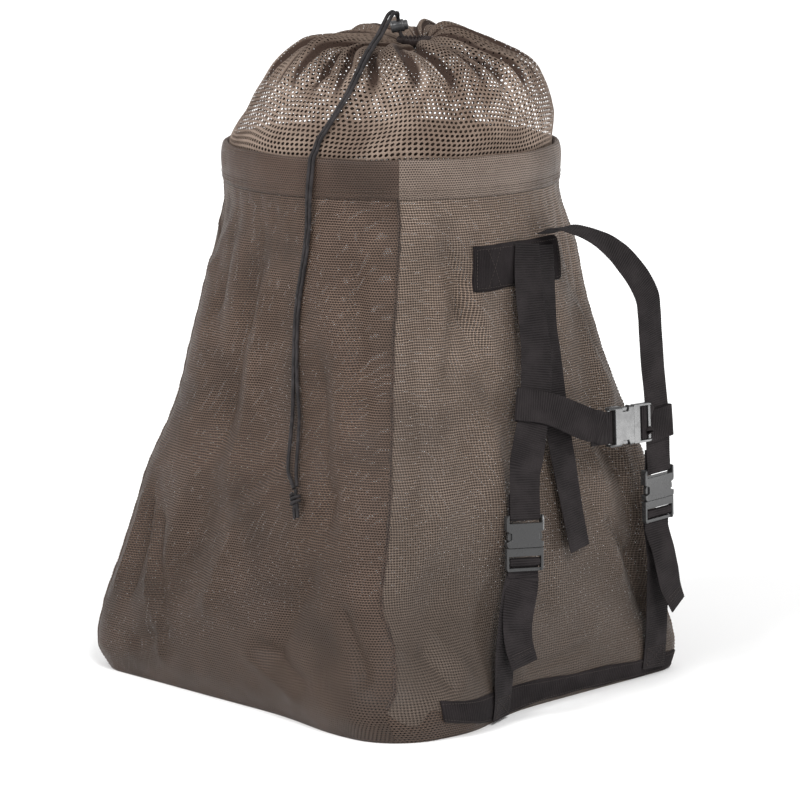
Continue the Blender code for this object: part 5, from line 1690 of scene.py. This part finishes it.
def add_webbing(frames, finish, flat_finish, thread):
    rows, columns = PATCH_GRID
    places = np.linspace(*PATCH_PLACES, columns)
    wave = 0.0008 * np.sin(places * 31.0)
    foot, top = PATCH_HEIGHTS
    shell_strip("strap_patch", rows, places, foot + wave, top + 0.6 * wave, 2.0 * WEB_WALL, flat_finish)
    rows, columns = STRIP_GRID
    table = np.array(STRIP)
    places = np.linspace(table[0, 0], table[-1, 0], columns)
    feet, tops = read_rows(places, table[:, 0], table[:, 1:])
    feet = np.maximum(feet + 0.0006 * np.sin(places * 43.0), 0.0006)
    tops = tops + 0.0009 * np.sin(places * 29.0)
    shell_strip("base_strip", rows, places, feet, tops, WEB_WALL, flat_finish)

    def joined(route, buckle, pairs):
        (along, out), *_ = pairs
        rows = route + (buckle.row(along + 0.020, out), buckle.row(along, out))
        return strap_route(rows)[:-1] + buckle.stations(pairs)

    left_strap = joined(LEFT_STRAP, frames["left"], SOCKET_WRAP)
    right_strap = joined(RIGHT_STRAP, frames["right"], SOCKET_WRAP)
    layer = strap_route(LEFT_LAYER)
    add_ribbon("left_strap", left_strap, finish)
    add_ribbon("left_strap_layer", layer, finish)
    add_ribbon("right_strap", right_strap, finish)
    lines = []
    for side, anchor, tail in (("left", LEFT_ANCHOR, LEFT_TAIL), ("right", RIGHT_ANCHOR, RIGHT_TAIL)):
        buckle = frames[side]
        stations = (strap_route(anchor + (buckle.row(*LADDER_WRAP[0]),))[:-1]
                    + buckle.stations(LADDER_WRAP)
                    + strap_route((buckle.row(*LADDER_WRAP[-1]),) + tail)[1:])
        add_ribbon(side + "_anchor_strap", stations, finish)
        total = strap_surface(stations)[3][-1]
        lines += strap_stitches(stations, ANCHOR_SEWN, ("box", "cross"), -1.0)
        lines += strap_stitches(stations, [total - distance for distance in TAIL_SEWN], ("bars",), 1.0)
    turn = ((-CROSSING_BACK, -CROSSING_OUT),) + CROSSING_TURN + ((-CROSSING_FRONT, CROSSING_OUT),)
    left = crossing(left_strap, LEFT_CROSSING).stations(turn) + frames["sternum"].stations(SOCKET_WRAP)
    for index, rise in enumerate(STERNUM_RISES, len(turn)):
        left[index] = (left[index][0] + Vector((0.0, 0.0, rise)), left[index][1])
    add_ribbon("sternum_strap_left", left, finish)
    right = (crossing(right_strap, RIGHT_CROSSING).stations([(-along, out) for along, out in turn])
             + frames["sternum"].stations(LADDER_WRAP[:-1]))
    add_ribbon("sternum_strap_right", right, finish)
    lines += strap_stitches(left_strap, STRAP_SEWN, ("box", "cross"), -1.0)
    lines += strap_stitches(layer, LAYER_SEWN, ("box",), -1.0)
    lines += [on_shell(pairs, STRIP_LIFT + 2.0 * WEB_WALL + STITCH_LIFT) for pairs in PATCH_STITCHES]
    for column, inset in ((2, -STITCH_INSET), (1, STITCH_INSET)):
        pairs = [(row[0], row[column] + inset) for row in STRIP]
        lines.append(on_shell(pairs, STRIP_LIFT + WEB_WALL + STITCH_LIFT))
    add_stitches("webbing_stitches", lines, thread, "webbing")


def both_sides(*halves):
    return tuple(-value for value in halves) + tuple(reversed(halves))


def socket_solid(across, along, out):
    _, notch_foot, notch_top, cavity_top, slot_foot, slot_top, _ = SOCKET_LIMITS
    _, cavity_wall, bar_wall = SOCKET_WALLS
    if abs(across) > NOTCH_INNER and notch_foot < along < notch_top:
        return False
    if abs(across) > CAVITY_HALF:
        return True
    if along < cavity_top:
        return abs(out) > cavity_wall
    if along < slot_foot:
        return True
    return along > slot_top and abs(out) < bar_wall


def plug_solid(across, along, out):
    _, bar_top, rung_foot, rung_top, plate_foot, plate_top, root_top = PLUG_LIMITS[:7]
    bulge_foot, bulge_top = PLUG_LIMITS[7:9]
    _, prong_wall, bar_wall = PLUG_WALLS
    width = abs(across)
    if along < plate_top:
        if width > PLUG_INNER or along > plate_foot:
            return True
        return (along < bar_top or rung_foot < along < rung_top) and abs(out) < bar_wall
    if abs(out) > prong_wall:
        return False
    if width > PLUG_INNER:
        return bulge_foot < along < bulge_top
    return along < root_top or width < TONGUE_HALF or width > PRONG_INNER


def add_blocks(mesh_name, node, buckle, planes, is_solid, moves, finish):
    """The blocks between three sets of planes whose middles pass a test, their edges rounded."""
    sizes = [len(axis) - 1 for axis in planes]
    builder = bmesh.new()
    corners = {}

    def filled(cell):
        if any(not 0 <= place < size for place, size in zip(cell, sizes)):
            return False
        return is_solid(*((axis[place] + axis[place + 1]) / 2.0 for axis, place in zip(planes, cell)))

    def corner(place):
        if place not in corners:
            across, along, out = (axis[index] for axis, index in zip(planes, place))
            inwards, onwards = moves.get((abs(across), along), (0.0, 0.0))
            across -= math.copysign(inwards, across)
            if (abs(across), abs(out)) == CROWN_EDGE:
                out -= math.copysign(CROWN, out)
            corners[place] = builder.verts.new((across, along + onwards, out))
        return corners[place]

    for cell in filter(filled, np.ndindex(*sizes)):
        for axis in range(3):
            for step in (0, 1):
                beside = list(cell)
                beside[axis] += 2 * step - 1
                if filled(beside):
                    continue
                ring = []
                for turns in ((0, 0), (1, 0), (1, 1), (0, 1)):
                    place = [*turns[:axis], step, *turns[axis:]]
                    ring.append(corner(tuple(base + more for base, more in zip(cell, place))))
                builder.faces.new(ring)
    bmesh.ops.recalc_face_normals(builder, faces=builder.faces)
    bmesh.ops.dissolve_limit(builder, angle_limit=math.radians(1.0), verts=builder.verts,
                             edges=builder.edges)
    mesh = built(mesh_name, builder)
    mesh.transform(frame_matrix(buckle.width, buckle.length, buckle.face, buckle.middle))
    item = add(mesh, finish, "buckle_plastic", node)
    rounded = item.modifiers.new("rounded", "BEVEL")
    rounded.width = BUCKLE_BEVEL
    rounded.segments = 3
    rounded.limit_method = "ANGLE"
    rounded.angle_limit = math.radians(28.0)
    rounded.use_clamp_overlap = True
    item.modifiers.new("even", "WEIGHTED_NORMAL").keep_sharp = True


def add_buckle(name, buckle, finish):
    """A fastened side-release buckle: the socket over the plug's prongs, its ladder outside."""
    planes = (both_sides(SOCKET_HALF, CAVITY_HALF, NOTCH_INNER), SOCKET_LIMITS, both_sides(*SOCKET_WALLS))
    add_blocks(name + "_socket_shell", name + "_socket", buckle, planes, socket_solid, SOCKET_MOVES, finish)
    planes = (both_sides(PLUG_HALF, PLUG_INNER, PRONG_INNER, TONGUE_HALF), PLUG_LIMITS,
              both_sides(*PLUG_WALLS))
    add_blocks(name + "_plug_frame", name + "_plug", buckle, planes, plug_solid, PLUG_MOVES, finish)


def add_mouth(finish):
    """The gathered casing round the mouth that the net ends in, crumpled by the drawstring."""
    count, sides = CASING_GRID
    angle = ring_angle(np.linspace(0.0, 4.0, count, endpoint=False))[:, None]
    crumple = 0.5 + 0.5 * np.sin(GATHERS * angle + 1.0 + 1.5 * np.sin(3.0 * angle))
    height, radius, lean, _ = smooth_row(COLLAR, 1.0)
    tube = np.arange(sides) / sides * math.tau
    reach = CASING_HALF + CASING_CRUMPLE * crumple
    radii = radius + CASING_OUT + reach * np.cos(tube) - 0.0010 * crumple
    deep = np.where(np.sin(tube) < 0.0, 2.6, 1.1)
    heights = height + CASING_UP + reach * deep * np.sin(tube) + 0.0008 * crumple
    points = leaning(radii * np.cos(angle), radii * np.sin(angle), heights, lean)
    points = np.concatenate([points, points[:1]])
    places = cloth_places(np.linspace(0.0, 0.022, sides + 1), np.linspace(0.0, 0.42, count + 1)[:, None])
    mesh = grid_mesh("casing", points, places, closed=True)
    add(join_meshes("mouth_casing", [mesh], merge=True, outwards=True), finish, "net_brown")


def add_light(name, kind, power, ray):
    light = bpy.data.lights.new(name, kind)
    light.energy = power
    item = new_object(name, light)
    item.rotation_euler = ray.to_track_quat("-Z", "Y").to_euler()
    return item


def add_studio():
    reach = FLOOR_REACH
    corners = [(-reach, -reach, 0.0), (reach, -reach, 0.0), (reach, reach, 0.0), (-reach, reach, 0.0)]
    floor = new_object("floor", new_mesh("floor", corners, [(0, 1, 2, 3)]))
    floor.location = (0.0, 0.0, -FLOOR_DROP)
    floor.data.materials.append(floor_paint())
    world = bpy.data.worlds.new("studio")
    world.use_nodes = True
    sky = world.node_tree.nodes["Background"]
    sky.inputs[0].default_value = (1.0, 1.0, 1.0, 1.0)
    sky.inputs[1].default_value = SKY_STRENGTH
    bpy.context.scene.world = world
    bpy.context.scene.view_settings.view_transform = "Standard"
    for name, turn, height, power in SOFTBOXES:
        azimuth = math.radians(CAMERA_SIDE + turn)
        level = math.cos(math.radians(height))
        ray = Vector((-level * math.cos(azimuth), -level * math.sin(azimuth),
                      -math.sin(math.radians(height))))
        add_light(name, "SUN", power, ray).data.angle = math.radians(SOFTBOX_SPREAD)
    card = add_light("low_card", "AREA", CARD_POWER, Vector(CARD_TARGET) - Vector(CARD_PLACE))
    card.location = CARD_PLACE
    card.data.shape = "RECTANGLE"
    card.data.size, card.data.size_y = CARD_SIZE


def build():
    add_camera()
    add_lock(plastic("lock_plastic_grey", LOCK_COLOUR, 0.30, 0.4, 0.35))
    add_drawstring(cord_yarn())

    # foot is 0.30 here and 0.60 on the brown panels: low on the bag the cloth takes 1 - foot of painted
    # shade
    taupe = mesh_cloth("mesh_taupe_cloth", TAUPE, TAUPE_WORN, (0.0030, 0.0030), 0.0, (0.78, 0.70),
                       0.50, 0.30, (0.03, 0.11))
    brown, dense = (mesh_cloth(name, BROWN, BROWN_WORN, (0.0032, 0.0029), 1.0, (0.78, 0.70),
                               0.45, 0.60, core)
                    for name, core in (("mesh_brown_cloth", (0.03, 0.11)),
                                       ("mesh_brown_far_cloth", (0.006, 0.028))))
    for panel, (node, finish, slot) in enumerate((("strap_panel", taupe, "mesh_taupe"),
                                                  ("right_panel", dense, "mesh_brown"),
                                                  ("back_panel", dense, "mesh_brown"),
                                                  ("left_panel", brown, "mesh_brown"))):
        add_panel(node, panel, finish, slot)
    add_base(brown)
    taupe_hem = hem_cloth("hem_taupe_cloth", HEM_TAUPE, HEM_TAUPE_WORN)
    brown_hem = hem_cloth("hem_brown_cloth", HEM_BROWN, HEM_BROWN_WORN)
    # The front seam's strip gets painted shade: a much darker colour than the cloth it is sewn from
    seam_dark = hem_cloth("seam_dark_cloth", SEAM_SHADE_BROWN, HEM_BROWN)
    lines = []
    for corner, (node, finish, slot) in enumerate((("front_seam", seam_dark, "mesh_brown"),
                                                   ("right_seam", taupe_hem, "mesh_taupe"),
                                                   ("rear_seam", brown_hem, "mesh_brown"),
                                                   ("left_seam", brown_hem, "mesh_brown"))):
        lines += add_seam(node, corner, finish, slot)
    add_hem("rim_hem_light", HEM_TURN, 1.0, taupe_hem, "mesh_taupe")
    add_hem("rim_hem_dark", 1.0, 4.0 + HEM_TURN, brown_hem, "mesh_brown")
    outer = SHELL_RIM_RADIUS + GAP + CLOTH
    places = np.linspace(0.0, 4.0, 400)
    for height, reach in HEM_STITCHES:
        line = ring_points(places, outer + reach, HEM_FOOT + height)
        lines.append((line, ring_points(places, outer + 0.01, HEM_FOOT + height) - line))
    add_stitches("cloth_stitches", lines, thread_yarn("cloth_thread", CLOTH_THREAD), "mesh_brown")
    add_hoop(plastic("hoop_plastic_pale", HOOP_COLOUR, 0.22, 0.2, 0.1))

    yarn = net_cloth()
    add_net("net_collar_front_yarn", 3.0, 5.0, yarn, ("net_collar_strap_side", "net_collar_left"))
    add_net("net_collar_rear_yarn", 1.0, 3.0, yarn, ("net_collar_right", "net_collar_back"), NET_FAR_CLOSED)
    add_mouth(casing_cloth())

    frames = {name: BuckleFrame(*place) for name, place in BUCKLES.items()}
    add_webbing(frames, web_cloth("strap_yarn", STRAP_BLACK, STRAP_WORN),
                web_cloth("patch_yarn", BLACK_WEB, BLACK_WEB_WORN), thread_yarn("webbing_thread", THREAD))
    buckle = plastic("buckle_plastic_black", BUCKLE_COLOUR, 0.26, 0.4, 0.15)
    for name, place in frames.items():
        add_buckle(name + "_buckle", place, buckle)
    add_studio()


build()
